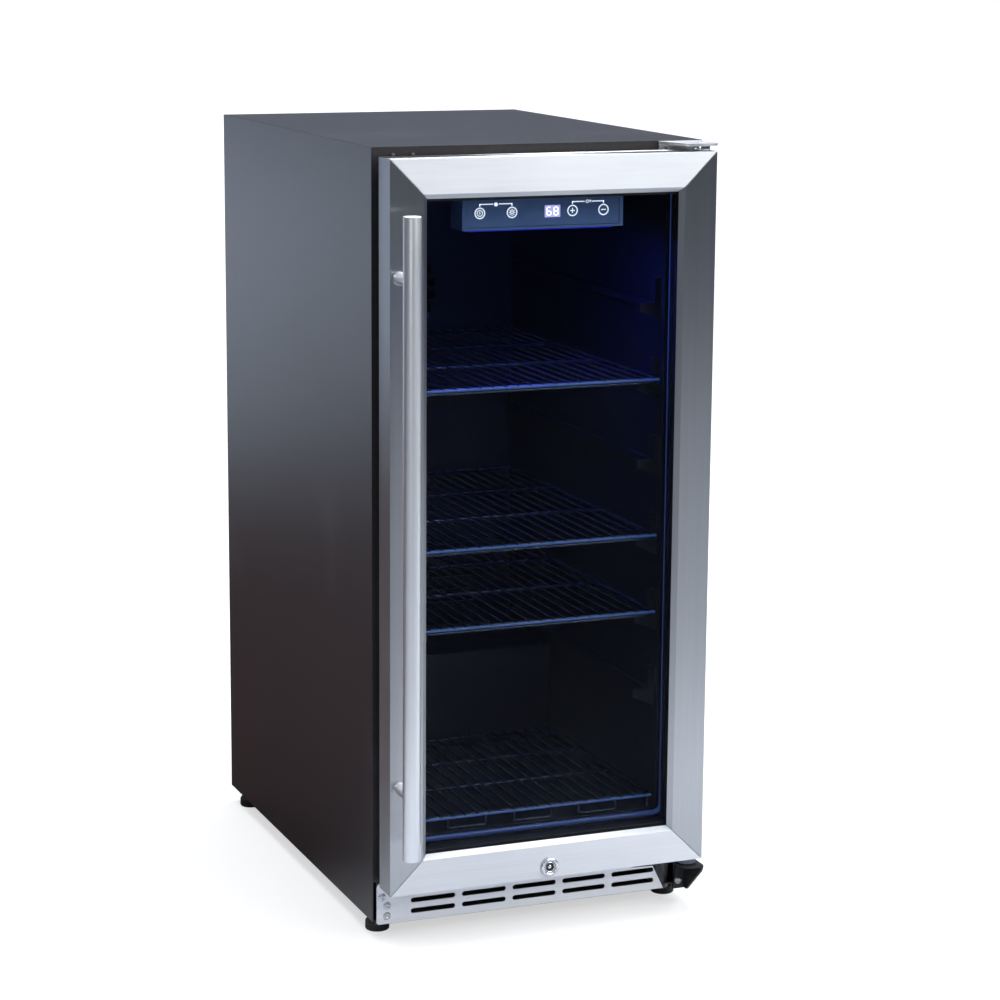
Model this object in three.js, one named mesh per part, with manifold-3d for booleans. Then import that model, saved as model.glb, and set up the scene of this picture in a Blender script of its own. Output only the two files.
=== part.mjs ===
// Undercounter glass-door drinks fridge. Millimetres, +Z up, the door faces -Y.
// Lengths along Y are counted from the cabinet's front face and the whole model is centred at the end.
import * as THREE from 'three';
import { mergeVertices } from 'three/addons/utils/BufferGeometryUtils.js';
import loadManifold from 'manifold-3d';

const wasm = await loadManifold();
wasm.setup();

// ---------- driving dimensions ----------
const GAP = 0.3; // running and assembly clearance
const SHEET = 1.2; // folded steel sheet
const ROUND = 16; // sides of a turned piece
const SMALL_ROUND = 10; // sides of a small hole or bar

const CAB_X = 189; // half width of the cabinet
const CAB_DEPTH = 536;
const CAB_BOTTOM = 19;
const CAB_TOP = 859;
const BASE_TOP = 64; // the base front ends here and the face frame begins

const LIP_X = 159; // half width of the liner's front flange
const LIP_BOTTOM = 107;
const LIP_TOP = 829;
const LINER_X = 148; // half width of the cold space
const LINER_WALL = 2;
const FLOOR = 112;
const CEILING = 818;
const LINER_BACK = 480;
const STEP_Y = 306; // front of the raised step over the compressor
const STEP_TOP = 228;

const LEDGE_FIRST = 248; // top of the lowest ledge
const LEDGE_PITCH = 87;
const LEDGE_COUNT = 6;
const LEDGE_X = 140; // inner edge of a ledge
const LEDGE_FRONT = 8;
const LEDGE_END = 425;

const DOOR_X = 185; // half width of the door
const DOOR_BOTTOM = 62;
const DOOR_TOP = 850;
const DOOR_FRONT = -46;
const DOOR_BACK = -11.6;
const RAIL = 42.5; // width of a door rail
const RAIL_BEVEL = 5.5;
const RAIL_WALL = 1.5;
const GLASS_X = 149;
const PANE = 4;

const HINGE_X = 173.5;
const HINGE_Y = -30;
const PIN_R = 4;

const BAR_X = -175;
const BAR_Y = -85;
const BAR_R = 9.5;
const BAR_BOTTOM = 115;
const BAR_TOP = 795.4;
const POST_INSET = 67.5; // from the bar's end to a post
const POST_R = 6.2;

const LOCK_Z = 74.7;
const FOOT_X = 173;
const FOOT_Y = [30, 505];
const LEG_COVER_X = [151.5, 172];
const LEG_COVER_TOP = 54;

const BOX_X = [-88, 97]; // control box
const BOX_Z = [769, 801];
const BOX_BACK = 34;
const BOX_RIM = 5; // width of the raised rim round the control face
const BUTTON_X = { power: -68, light: -31.5, up: 38, down: 74 };
const BUTTON_Z = 787;
const BUTTON_R = 6.5;

const PLANT_FRONT = 342; // compressor compartment, behind the cold space and under its step
const PLANT_TOP = 191;

// ---------- finishes ----------
const finish = (color, roughness, metalness) => ({ color, roughness, metalness });
const CHARCOAL = finish(0x2a2b30, 0.45, 0.3);
const STAINLESS = finish(0xb9bec4, 0.32, 0.9);
const BRIGHT = finish(0xd8dadd, 0.15, 1);
const BLACK_STEEL = finish(0x101114, 0.5, 0.4);
const BLACK_PLASTIC = finish(0x17181b, 0.6, 0);
const DARK_LINER = finish(0x1b1f2b, 0.5, 0);
const RUBBER = finish(0x0d0d0e, 0.85, 0);
const GLASS = finish(0x9fb4c4, 0.05, 0);
const FOAM = finish(0xd9c58a, 0.95, 0);
const GALVANISED = finish(0x9a9fa3, 0.45, 0.8);
const COPPER = finish(0xb06a3b, 0.35, 0.9);
const LIGHT = finish(0x5a7dff, 0.4, 0);
const BOARD = finish(0x1f6b3a, 0.6, 0);
const WIRE = finish(0x23262c, 0.4, 0.2);

// ---------- solids ----------
function solid(geometry) {
  const bare = geometry.clone();
  bare.deleteAttribute('normal');
  bare.deleteAttribute('uv');
  const merged = mergeVertices(bare, 1e-4);
  const mesh = new wasm.Mesh({
    numProp: 3,
    vertProperties: new Float32Array(merged.attributes.position.array),
    triVerts: new Uint32Array(merged.index.array),
  });
  return new wasm.Manifold(mesh);
}

function surface(body) {
  const mesh = body.getMesh();
  const geometry = new THREE.BufferGeometry();
  geometry.setAttribute('position', new THREE.BufferAttribute(mesh.vertProperties, 3));
  geometry.setIndex(new THREE.BufferAttribute(mesh.triVerts, 1));
  geometry.computeVertexNormals();
  return geometry;
}

const join = (bodies) => bodies.reduce((sum, body) => sum.add(body));
const cut = (body, tools) => tools.reduce((rest, tool) => rest.subtract(tool), body);

// A box from its spans along X, Y and Z.
function block(x, y, z) {
  const box = new THREE.BoxGeometry(x[1] - x[0], y[1] - y[0], z[1] - z[0]);
  box.translate((x[0] + x[1]) / 2, (y[0] + y[1]) / 2, (z[0] + z[1]) / 2);
  return solid(box);
}

const outline = (points) => new THREE.Shape(points.map(([a, b]) => new THREE.Vector2(a, b)));

function extrude(shape, span, curveSegments = 4) {
  const depth = span[1] - span[0];
  return new THREE.ExtrudeGeometry(shape, { depth, bevelEnabled: false, curveSegments });
}

// An outline drawn in X and Z, as thick as its span along Y.
function platePlanXZ(shape, y) {
  return solid(extrude(shape, y).rotateX(Math.PI / 2).translate(0, y[1], 0));
}

// An outline drawn in X and Y, as thick as its span along Z.
function platePlanXY(shape, z) {
  return solid(extrude(shape, z).translate(0, 0, z[0]));
}

// An outline drawn in Y and Z, as wide as its span along X.
function platePlanYZ(shape, x) {
  const turn = new THREE.Matrix4().makeBasis(
    new THREE.Vector3(0, 1, 0),
    new THREE.Vector3(0, 0, 1),
    new THREE.Vector3(1, 0, 0),
  );
  return solid(extrude(shape, x).applyMatrix4(turn).translate(x[0], 0, 0));
}

// A turned piece about +Z: profile points are [radius, height].
function turned(profile, sides = ROUND) {
  const points = profile.map(([r, h]) => new THREE.Vector2(r, h));
  return solid(new THREE.LatheGeometry(points, sides).rotateX(Math.PI / 2));
}

const alongZ = (body, x, y) => body.translate([x, y, 0]);
// Turns a piece made about +Z so that its heights run along +Y.
const alongY = (body, x, z) => body.rotate([-90, 0, 0]).translate([x, 0, z]);

// A plain round bar between two heights.
function bar(r, z, sides = r < 6 ? SMALL_ROUND : ROUND) {
  return turned([[0, z[0]], [r, z[0]], [r, z[1]], [0, z[1]]], sides);
}

// A turned ring: its profile closes on itself.
function ring(rIn, rOut, z, sides) {
  return turned([[rIn, z[0]], [rOut, z[0]], [rOut, z[1]], [rIn, z[1]], [rIn, z[0]]], sides);
}

const holeY = (r, x, z, y) => alongY(bar(r, y), x, z);
const holeZ = (r, x, y, z) => alongZ(bar(r, z), x, y);

// A rectangular frame in the XZ plane, with half widths and height spans of its outside and inside.
function frameXZ(outX, outZ, inX, inZ, y) {
  return block([-outX, outX], y, outZ).subtract(block([-inX, inX], [y[0] - 1, y[1] + 1], inZ));
}

function slotShape(x, z, r) {
  const shape = new THREE.Shape();
  shape.absarc(x[1] - r, z, r, -Math.PI / 2, Math.PI / 2, false);
  shape.absarc(x[0] + r, z, r, Math.PI / 2, (3 * Math.PI) / 2, false);
  return shape;
}

// ---------- assembly ----------
const fridge = new THREE.Group();
const model = new THREE.Group();
fridge.add(model);

function piece(name, body, look) {
  const mesh = new THREE.Mesh(surface(body), new THREE.MeshStandardMaterial(look));
  mesh.name = name;
  model.add(mesh);
}

// A pan-head screw along +Y whose head rises from the face at y, with a cross recess.
function screw(x, z, y, headR = 4.4, length = 8) {
  const head = 2.4;
  const shank = 2;
  const body = turned([
    [0, -head],
    [headR * 0.55, -head],
    [headR * 0.9, -head * 0.6],
    [headR, 0],
    [shank, 0],
    [shank, length],
    [0, length],
  ], 12);
  const arm = headR * 0.5;
  const recess = join([
    block([-arm, arm], [-0.6, 0.6], [-head - 1, -head + 1]),
    block([-0.6, 0.6], [-arm, arm], [-head - 1, -head + 1]),
  ]);
  return alongY(body.subtract(recess), x, z).translate([0, y, 0]);
}

// ---------- cabinet ----------
const TOP_SCREW = [144.2, 848.5];
const BRACKET_SCREW = [177.2, 23.3];
const KICK_SCREWS = [[-178.3, 46.8], [-172.8, 36.6], [-173.1, 25]];

function cabinetShell() {
  const inner = CAB_X - SHEET;
  const outside = block([-CAB_X, CAB_X], [0, CAB_DEPTH], [CAB_BOTTOM, CAB_TOP]);
  return cut(outside, [
    block([-inner, inner], [SHEET, CAB_DEPTH + 1], [CAB_BOTTOM - 1, CAB_TOP - SHEET]),
    block([-LIP_X - GAP, LIP_X + GAP], [-1, 3], [LIP_BOTTOM - GAP, LIP_TOP + GAP]),
    block([-inner, inner], [-1, 3], [CAB_BOTTOM - 1, BASE_TOP + GAP]),
    holeY(2.4, ...TOP_SCREW, [-1, 3]),
  ]);
}

function backPanel() {
  const x = CAB_X - SHEET - GAP;
  const flat = block([-x, x], [534.5, 535.7], [195, CAB_TOP - SHEET - GAP]);
  const ribs = [300, 480, 660].map((z) => block([-150, 150], [532.5, 535], [z - 8, z + 8]));
  return join([flat, ...ribs]);
}

function rearCover() {
  const x = CAB_X - SHEET - GAP;
  const louvres = [];
  for (const side of [-1, 1]) {
    for (let row = 0; row < 6; row += 1) {
      const z = 76 + row * 15;
      louvres.push(block([side * 85 - 55, side * 85 + 55], [530, 540], [z - 2.5, z + 2.5]));
    }
  }
  const plate = block([-x, x], [534.5, 535.7], [22, 194.6]);
  return cut(plate, [...louvres, holeY(8, 0, 45, [530, 540])]);
}

function cordGland() {
  const body = turned([
    [3.6, -4], [12, -4], [12, -1.2 - GAP], [7.7, -1.2 - GAP], [7.7, 5.4], [3.6, 5.4], [3.6, -4],
  ]);
  return alongY(body, 0, 45).translate([0, 532.4, 0]).add(
    alongY(ring(3.6, 9.5, [536, 537.5]), 0, 45),
  );
}

// Side view of the cold space, grown outwards by a wall.
function coldOutline(grow, front) {
  return outline([
    [front, FLOOR - grow],
    [STEP_Y + grow, FLOOR - grow],
    [STEP_Y + grow, STEP_TOP - grow],
    [LINER_BACK + grow, STEP_TOP - grow],
    [LINER_BACK + grow, CEILING + grow],
    [front, CEILING + grow],
  ]);
}

const DRAIN = [60, 462];

function foamInsulation() {
  const x = CAB_X - SHEET - GAP;
  const side = outline([
    [SHEET + GAP, 68],
    [PLANT_FRONT - 2, 68],
    [PLANT_FRONT - 2, PLANT_TOP + 1],
    [532, PLANT_TOP + 1],
    [532, CAB_TOP - SHEET - GAP],
    [SHEET + GAP, CAB_TOP - SHEET - GAP],
  ]);
  const wall = LINER_WALL + GAP;
  const coldX = LINER_X + wall;
  const lip = LIP_X + GAP;
  return cut(platePlanYZ(side, [-x, x]), [
    platePlanYZ(coldOutline(wall, -1), [-coldX, coldX]),
    block([-lip, lip], [0, 2.6], [LIP_BOTTOM - GAP, LIP_TOP + GAP]),
    holeZ(5, ...DRAIN, [PLANT_TOP, STEP_TOP + 1]),
    block([TOP_SCREW[0] - 4, TOP_SCREW[0] + 4], [0, 12], [TOP_SCREW[1] - 4, TOP_SCREW[1] + 4]),
  ]);
}

// One shelf ledge: a run along the side wall, a wedge foot at its front and a stop bar above that.
function ledge(side, top) {
  const wall = LINER_X + 1;
  const across = (a, b) => [Math.min(side * a, side * b), Math.max(side * a, side * b)];
  const foot = outline([
    [side * 122, top],
    [side * wall, top],
    [side * wall, top - 20],
    [side * 122, top - 8],
  ]);
  return [
    block(across(LEDGE_X, wall), [LEDGE_FRONT, LEDGE_END], [top - 8, top]),
    block(across(LEDGE_X, wall), [LEDGE_FRONT, LEDGE_FRONT + 8], [top - 4, top + 27]),
    platePlanXZ(foot, [LEDGE_FRONT, LEDGE_FRONT + 8]),
  ];
}

function liner() {
  const x = LINER_X + LINER_WALL;
  const tub = platePlanYZ(coldOutline(LINER_WALL, GAP), [-x, x]);
  const flange = block([-LIP_X, LIP_X], [GAP, 2.3], [LIP_BOTTOM, LIP_TOP]);
  const hollow = platePlanYZ(coldOutline(0, -1), [-LINER_X, LINER_X]);
  const ledges = [];
  for (const side of [-1, 1]) {
    for (let level = 0; level < LEDGE_COUNT; level += 1) {
      ledges.push(...ledge(side, LEDGE_FIRST + level * LEDGE_PITCH));
    }
  }
  const shell = tub.add(flange).subtract(hollow);
  return join([shell, ...ledges]).subtract(holeZ(4.8, ...DRAIN, [STEP_TOP - 3, STEP_TOP + 1]));
}

// A sheet that curves back beside the front leg, between the kick plate and the hinge bracket.
function legCover() {
  const [x0, x1] = LEG_COVER_X;
  const wall = 1.5;
  const radius = 17;
  const shape = new THREE.Shape();
  shape.moveTo(x0, 0);
  shape.absarc(x1 - radius, radius, radius, -Math.PI / 2, 0, false);
  shape.lineTo(x1 - wall, radius);
  shape.absarc(x1 - radius, radius, radius - wall, 0, -Math.PI / 2, true);
  shape.lineTo(x0, wall);
  return platePlanXY(shape, [14.2, LEG_COVER_TOP + 1]);
}

function basePan() {
  const x = CAB_X - SHEET - GAP;
  const feet = FOOT_Y.flatMap((y) => [-FOOT_X, FOOT_X].map((fx) => holeZ(4.4, fx, y, [10, 30])));
  const floor = block([-x, x], [0, 534], [CAB_BOTTOM + GAP, CAB_BOTTOM + 1.8]);
  const opening = block([LEG_COVER_X[0] + 1, LEG_COVER_X[1] + GAP], [-1, 3], [10, LEG_COVER_TOP]);
  const front = block([-185, 185], [0, 1.5], [15, BASE_TOP]).subtract(opening);
  const threads = [...KICK_SCREWS, BRACKET_SCREW].map(([sx, z]) => holeY(2.4, sx, z, [-1, 3]));
  const vents = [0, 1, 2, 3].map((n) => block([-130 + n * 70, -80 + n * 70], [200, 206], [10, 30]));
  return cut(join([floor, front, legCover()]), [
    block([-150, 150], [-1, 3], [21.5, 45]),
    ...feet,
    ...threads,
    ...vents,
  ]);
}

function foot(x, y) {
  const body = turned([
    [0, 0], [12.5, 0], [13.5, 1.5], [13.5, 10], [11, 13], [4, 13], [4, 46], [0, 46],
  ]);
  return alongZ(body, x, y);
}

function kickPlate() {
  const shape = new THREE.Shape();
  shape.moveTo(-183, 16);
  shape.lineTo(159, 16);
  shape.lineTo(145.5, 43.9);
  shape.lineTo(119, 44.8);
  shape.lineTo(119, 63.5);
  shape.lineTo(-179, 63.5);
  shape.absarc(-179, 57.5, 6, Math.PI / 2, Math.PI, false);
  shape.lineTo(-185, 18);
  const slots = [];
  for (let group = 0; group < 5; group += 1) {
    const x = -145.4 + group * 60;
    for (const z of [27.2, 39.4]) {
      slots.push(platePlanXZ(slotShape([x, x + 52], z, 2.75), [-5, 1]));
    }
  }
  const holes = KICK_SCREWS.map(([x, z]) => holeY(2.4, x, z, [-5, 1]));
  return cut(platePlanXZ(shape, [-2, -GAP]), [...slots, ...holes]);
}

// Hook on the face frame that the lock's cam turns in behind.
function lockStrike() {
  const side = outline([
    [-GAP, 66], [-1.8, 66], [-2.6, 65], [-2.6, 53], [-12.5, 53], [-12.5, 60.5], [-14, 60.5],
    [-14, 51.5], [-2.3, 51.5], [-2.3, 64.5], [-GAP, 64.5],
  ]);
  return platePlanYZ(side, [-9, 9]);
}

// ---------- hinges ----------
function topHingePlate() {
  const shape = outline([
    [136.7, -1], [150, -44], [153, -46], [183, -46], [187.5, -41], [187.5, -1],
  ]);
  const tongue = platePlanXY(shape, [855.7, 858.5]);
  const leg = block([136.7, 187.5], [-2.8, -GAP], [840, 858.5]);
  return cut(tongue.add(leg), [
    holeZ(PIN_R + GAP, HINGE_X, HINGE_Y, [850, 862]),
    holeY(2.4, ...TOP_SCREW, [-4, 1]),
  ]);
}

// Pin with its bush as a collar between the plate and the door.
function hingePin(z, collar, collarR) {
  const body = turned([
    [0, z[0]],
    [PIN_R - 0.6, z[0]],
    [PIN_R, z[0] + 1],
    [PIN_R, collar[0]],
    [collarR, collar[0]],
    [collarR, collar[1]],
    [PIN_R, collar[1]],
    [PIN_R, z[1]],
    [0, z[1]],
  ]);
  return alongZ(body, HINGE_X, HINGE_Y);
}

function bottomHingeBracket() {
  const top = new THREE.Shape();
  top.moveTo(162, -1);
  top.lineTo(162, HINGE_Y);
  top.absarc(175, -33, 13, Math.PI, 1.5 * Math.PI, false);
  top.lineTo(187.5, -46);
  top.lineTo(187.5, -1);
  const side = outline([[-46, 54], [-46, 51], [-43.4, 45.7], [-8.4, 13.8], [-GAP, 13.8], [-GAP, 54]]);
  return cut(join([
    platePlanXY(top, [51, 54]),
    platePlanYZ(side, [184.7, 187.5]),
    platePlanXZ(outline([[171, 13.8], [187.5, 13.8], [187.5, 54], [176, 54]]), [-3, -GAP]),
  ]), [
    holeZ(PIN_R + GAP, HINGE_X, HINGE_Y, [45, 60]),
    holeY(2.4, ...BRACKET_SCREW, [-5, 1]),
  ]);
}

// ---------- door ----------
const OPEN_X = DOOR_X - RAIL;
const OPEN_Z = [DOOR_BOTTOM + RAIL, DOOR_TOP - RAIL];
const DOOR_MID = (DOOR_BOTTOM + DOOR_TOP) / 2;
const DOOR_HALF = (DOOR_TOP - DOOR_BOTTOM) / 2;
const grow = (span, by) => [span[0] - by, span[1] + by];

// A four-sided funnel for the slope round the glass: wide at the front, narrow behind.
function bevelTool() {
  const reach = 1; // the tool starts this far in front of the door
  const funnel = new THREE.BoxGeometry(2, 2, 2);
  const at = funnel.attributes.position;
  const halfZ = (OPEN_Z[1] - OPEN_Z[0]) / 2;
  for (let i = 0; i < at.count; i += 1) {
    const inFront = at.getY(i) < 0;
    const extra = inFront ? RAIL_BEVEL + reach : 0;
    const y = inFront ? DOOR_FRONT - reach : DOOR_FRONT + RAIL_BEVEL;
    at.setXYZ(i, at.getX(i) * (OPEN_X + extra), y, DOOR_MID + at.getZ(i) * (halfZ + extra));
  }
  return solid(funnel);
}

// The stainless skin of all four rails in one ring, folded back at the outside and at the slope.
function railRing() {
  const backY = DOOR_BACK + 1;
  const wallX = DOOR_X - RAIL_WALL;
  const wallZ = grow([DOOR_BOTTOM, DOOR_TOP], -RAIL_WALL);
  const ringOut = frameXZ(DOOR_X, [DOOR_BOTTOM, DOOR_TOP], OPEN_X, OPEN_Z, [DOOR_FRONT, DOOR_BACK]);
  const slopeX = OPEN_X + RAIL_BEVEL + 1;
  const slopeZ = grow(OPEN_Z, RAIL_BEVEL + 1);
  return cut(ringOut, [
    bevelTool(),
    frameXZ(wallX, wallZ, slopeX, slopeZ, [DOOR_FRONT + RAIL_WALL, backY]),
    block([-wallX, wallX], [DOOR_FRONT + RAIL_BEVEL - 0.2, backY], wallZ),
    holeY(8.7, 0, LOCK_Z, [DOOR_FRONT - 1, backY]),
    holeZ(PIN_R + GAP, HINGE_X, HINGE_Y, [DOOR_BOTTOM - 1, DOOR_BOTTOM + 3]),
    holeZ(PIN_R + GAP, HINGE_X, HINGE_Y, [DOOR_TOP - 3, DOOR_TOP + 1]),
  ]);
}

// The part of the ring between two mitres. side is the direction from the door's middle: x or z.
function mitre(alongX, sign) {
  const open = 0.2; // half of the mitre's joint
  const far = 1;
  const [a, b] = alongX ? [DOOR_X, DOOR_HALF] : [DOOR_HALF, DOOR_X];
  const out = [a + far - open, b + far];
  const inn = [a - RAIL - far - open, b - RAIL - far];
  const flat = [[-out[0], out[1]], [out[0], out[1]], [inn[0], inn[1]], [-inn[0], inn[1]]];
  const points = flat.map(([along, away]) => (
    alongX ? [along, DOOR_MID + sign * away] : [sign * away, DOOR_MID + along]
  ));
  return platePlanXZ(outline(points), [DOOR_FRONT - 1, DOOR_BACK + 1]);
}

const GLASS_Y = DOOR_FRONT + RAIL_BEVEL + 0.1; // front of the outer pane
const GLASS_Z = grow(OPEN_Z, GLASS_X - OPEN_X);
const SPACER_Y = [GLASS_Y + PANE + GAP, GLASS_Y + PANE + GAP + 12];
const INNER_Y = SPACER_Y[1] + GAP;

function doorInnerFrame() {
  const x = DOOR_X - RAIL_WALL - GAP;
  const z = grow([DOOR_BOTTOM, DOOR_TOP], -RAIL_WALL - GAP);
  const glassX = GLASS_X + GAP;
  const glassZ = grow(GLASS_Z, GAP);
  const back = DOOR_BACK - GAP;
  const body = frameXZ(x, z, glassX, glassZ, [DOOR_FRONT + RAIL_WALL + GAP, back]);
  const lip = frameXZ(glassX + 1, grow(glassZ, 1), OPEN_X, OPEN_Z, [INNER_Y + PANE + GAP, back]);
  return cut(body.add(lip), [
    holeY(8.7, 0, LOCK_Z, [-50, 0]),
    holeZ(PIN_R + GAP, HINGE_X, HINGE_Y, [DOOR_BOTTOM, 76]),
    holeZ(PIN_R + GAP, HINGE_X, HINGE_Y, [836, DOOR_TOP]),
  ]);
}

// Magnetic seal: a wide foot on the door, a narrow bellows and a magnet bar that meets the cabinet.
function doorGasket() {
  const [outX, outZ] = [172, [90, 838]];
  const layer = (inset, y) => {
    const width = 12 - inset;
    const x = outX - inset;
    const z = grow(outZ, -inset);
    return frameXZ(x, z, x - width + inset, grow(z, -width + inset), y);
  };
  return join([layer(0, [-11.3, -8]), layer(3, [-9, -4]), layer(1, [-5, -GAP])]);
}

const pane = (y) => block([-GLASS_X, GLASS_X], [y, y + PANE], GLASS_Z);

function glassSpacer() {
  return frameXZ(GLASS_X - 1, grow(GLASS_Z, -1), GLASS_X - 9, grow(GLASS_Z, -9), SPACER_Y);
}

function handleBar() {
  const edge = 0.8;
  const body = turned([
    [0, BAR_BOTTOM],
    [BAR_R - edge, BAR_BOTTOM],
    [BAR_R, BAR_BOTTOM + edge],
    [BAR_R, BAR_TOP - edge],
    [BAR_R - edge, BAR_TOP],
    [0, BAR_TOP],
  ], 24);
  return alongZ(body, BAR_X, BAR_Y);
}

function handlePost(z) {
  const post = alongY(turned([
    [0, BAR_Y], [POST_R, BAR_Y], [POST_R, -48.5], [POST_R + 1.2, -47.3], [POST_R + 1.2, DOOR_FRONT - GAP],
    [0, DOOR_FRONT - GAP],
  ]), BAR_X, z);
  return post.subtract(alongZ(bar(BAR_R + GAP, [z - 20, z + 20], 24), BAR_X, BAR_Y));
}

// ---------- lock ----------
const LOCK_PLUG_R = 6;

function lockBezel() {
  const bore = LOCK_PLUG_R + GAP;
  const body = turned([
    [bore, -48.6], [8.4, -49.6], [9.6, -49.3], [10.5, -48], [10.5, DOOR_FRONT - GAP], [8.2, DOOR_FRONT - GAP],
    [8.2, -12.2], [bore, -12.2], [bore, -48.6],
  ]);
  return alongY(body, 0, LOCK_Z);
}

// The turning plug with a ring-shaped keyway and a tail for the cam.
function lockCylinder() {
  const body = turned([
    [0, -47.6], [2.8, -47.6], [2.8, -43.5], [4, -43.5], [4, -48.2], [LOCK_PLUG_R, -48.2],
    [LOCK_PLUG_R, -11], [3, -11], [3, -7.6], [0, -7.6],
  ]);
  return alongY(body, 0, LOCK_Z);
}

function lockCam() {
  const hub = new THREE.Shape();
  hub.absarc(0, LOCK_Z, 7, -Math.PI * 0.75, Math.PI * 0.75, false);
  hub.lineTo(-19.2, LOCK_Z + 4.5);
  hub.lineTo(-19.2, LOCK_Z - 4.5);
  return platePlanXZ(hub, [-10.6, -8.6]).subtract(holeY(3 + GAP, 0, LOCK_Z, [-12, -6]));
}

// ---------- control box ----------
const buttonHoles = (r, y) => Object.values(BUTTON_X).map((x) => holeY(r, x, BUTTON_Z, y));

function controlHousing() {
  const [x0, x1] = BOX_X;
  const outside = block(BOX_X, [2.2, BOX_BACK], BOX_Z);
  const rim = block(BOX_X, [GAP, 3], BOX_Z).subtract(
    block([x0 + BOX_RIM, x1 - BOX_RIM], [-1, 4], grow(BOX_Z, -BOX_RIM)),
  );
  const neck = block([x0 + 8, x1 - 8], [8, BOX_BACK - 2], [BOX_Z[1] - 1, CEILING - GAP]);
  const cavity = block([x0 + 2, x1 - 2], [4.2, BOX_BACK + 1], grow(BOX_Z, -2));
  return cut(join([outside, rim, neck]), [cavity, ...buttonHoles(BUTTON_R + GAP, [1, 5])]);
}

function controlOverlay() {
  const inset = BOX_RIM + GAP;
  const face = block(grow(BOX_X, -inset), [1.1, 1.9], grow(BOX_Z, -inset));
  return cut(face, buttonHoles(BUTTON_R + GAP, [-1, 3]));
}

const BUTTON_TRAVEL_ROOM = 1.2;

function button(x) {
  const front = 0.7;
  const flange = 4.2 + GAP;
  const body = turned([
    [0, front], [BUTTON_R - 0.4, front], [BUTTON_R, front + 0.4], [BUTTON_R, flange], [BUTTON_R + 1.5, flange],
    [BUTTON_R + 1.5, flange + 1.5], [0, flange + 1.5],
  ]);
  return alongY(body, x, BUTTON_Z);
}

function controlBoard() {
  const y = 6.3 + BUTTON_TRAVEL_ROOM;
  return join([
    block(grow(BOX_X, -3), [y, y + 1.6], grow(BOX_Z, -3)),
    block([-20, 5], [y + 1, y + 9], [778, 793]),
    block([50, 62], [y + 1, y + 12], [776, 790]),
  ]);
}

const ledLens = () => block(grow(BOX_X, -9), [7, 29], [BOX_Z[0] - 3.3, BOX_Z[0] - GAP]);

// ---------- shelves ----------
const WIRE_PITCH = 14.4;
const WIRE_COUNT = 20;

// Wires from front to back, welded on top of cross rails.
function wireGrid(depth, railZ, railYs, wireW) {
  const railH = 5;
  const grid = [];
  const first = -((WIRE_COUNT - 1) * WIRE_PITCH) / 2;
  const top = railZ + railH;
  for (let n = 0; n < WIRE_COUNT; n += 1) {
    const x = first + n * WIRE_PITCH;
    grid.push(block([x - wireW / 2, x + wireW / 2], [2, depth], [top - 1, top + wireW - 1]));
  }
  const rails = railYs.map((y) => block([-146, 146], [y, y + railH], [railZ, top]));
  return join([...rails, ...grid]);
}

function shelf(level) {
  const ledgeTop = LEDGE_FIRST + level * LEDGE_PITCH;
  const frontRail = block([-146, 146], [1, 6], [ledgeTop - 3, ledgeTop + 5]);
  return wireGrid(428, ledgeTop + GAP, [415], 3).add(frontRail);
}

function bottomRack() {
  const legs = [[-140, 8], [135, 8], [-140, 285], [135, 285]].map(([x, y]) => (
    block([x, x + 5], [y, y + 5], [FLOOR + GAP, 126])
  ));
  return join([wireGrid(292, 123, [4, 284], 3), ...legs]);
}

// ---------- cold side ----------
const FAN_Z = 650;

function evaporatorCover() {
  const x = LINER_X - GAP;
  const plate = block([-x, x], [440, 443], [STEP_TOP + GAP, CEILING - GAP]);
  const returns = [-1, 1].map((side) => (
    block([side * 138 - 9.4, side * 138 + 9.4], [442, LINER_BACK - GAP], [STEP_TOP + GAP, 236])
  ));
  const slots = [260, 276, 292, 760, 776, 792].map((z) => (
    block([-100, 100], [430, 450], [z - 3, z + 3])
  ));
  const grille = [-40, -24, -8, 8, 24, 40].map((z) => {
    const half = Math.sqrt(48 ** 2 - z ** 2);
    return block([-half, half], [430, 450], [FAN_Z + z - 5, FAN_Z + z + 5]);
  });
  return cut(join([plate, ...returns]), [...slots, ...grille]);
}

function finBlock(x, y, z, count, inset) {
  const core = block(x, grow(y, -inset), grow(z, -inset));
  const step = (x[1] - x[0]) / (count - 1);
  const fins = [];
  for (let n = 0; n < count; n += 1) {
    const at = x[0] + n * step;
    fins.push(block([at - 0.6, at + 0.6], y, z));
  }
  return join([core, ...fins]);
}

const evaporator = () => finBlock([-100, 100], [450, 474], [320, 560], 11, 6);

// A hub with flat pitched blades, turning about Y.
function fan(x, z, y, radius, blades) {
  const half = (y[1] - y[0]) / 2;
  const parts = [bar(radius * 0.28, [-half, half])];
  for (let n = 0; n < blades; n += 1) {
    const shape = new THREE.Shape();
    shape.moveTo(radius * 0.2, -radius * 0.12);
    shape.absarc(0, 0, radius, -0.42, 0.34, false);
    shape.lineTo(radius * 0.2, radius * 0.12);
    const blade = new THREE.ExtrudeGeometry(shape, { depth: 1.4, bevelEnabled: false, curveSegments: 3 });
    blade.translate(0, 0, -0.7).rotateX(0.38).rotateZ((n * 2 * Math.PI) / blades);
    parts.push(solid(blade));
  }
  return alongY(join(parts), x, z).translate([0, (y[0] + y[1]) / 2, 0]);
}

function evaporatorFanMotor() {
  const arms = [0, 1, 2].map((n) => (
    block([-4, 4], [0, 62], [467, 470]).rotate([0, 0, n * 120])
  ));
  const body = join([bar(17, [461, 478]), ...arms]);
  return alongY(body, 0, FAN_Z);
}

// ---------- hot side ----------
const COMPRESSOR = [95, 440];
const CONDENSER_FAN = [-110, 100];

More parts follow.
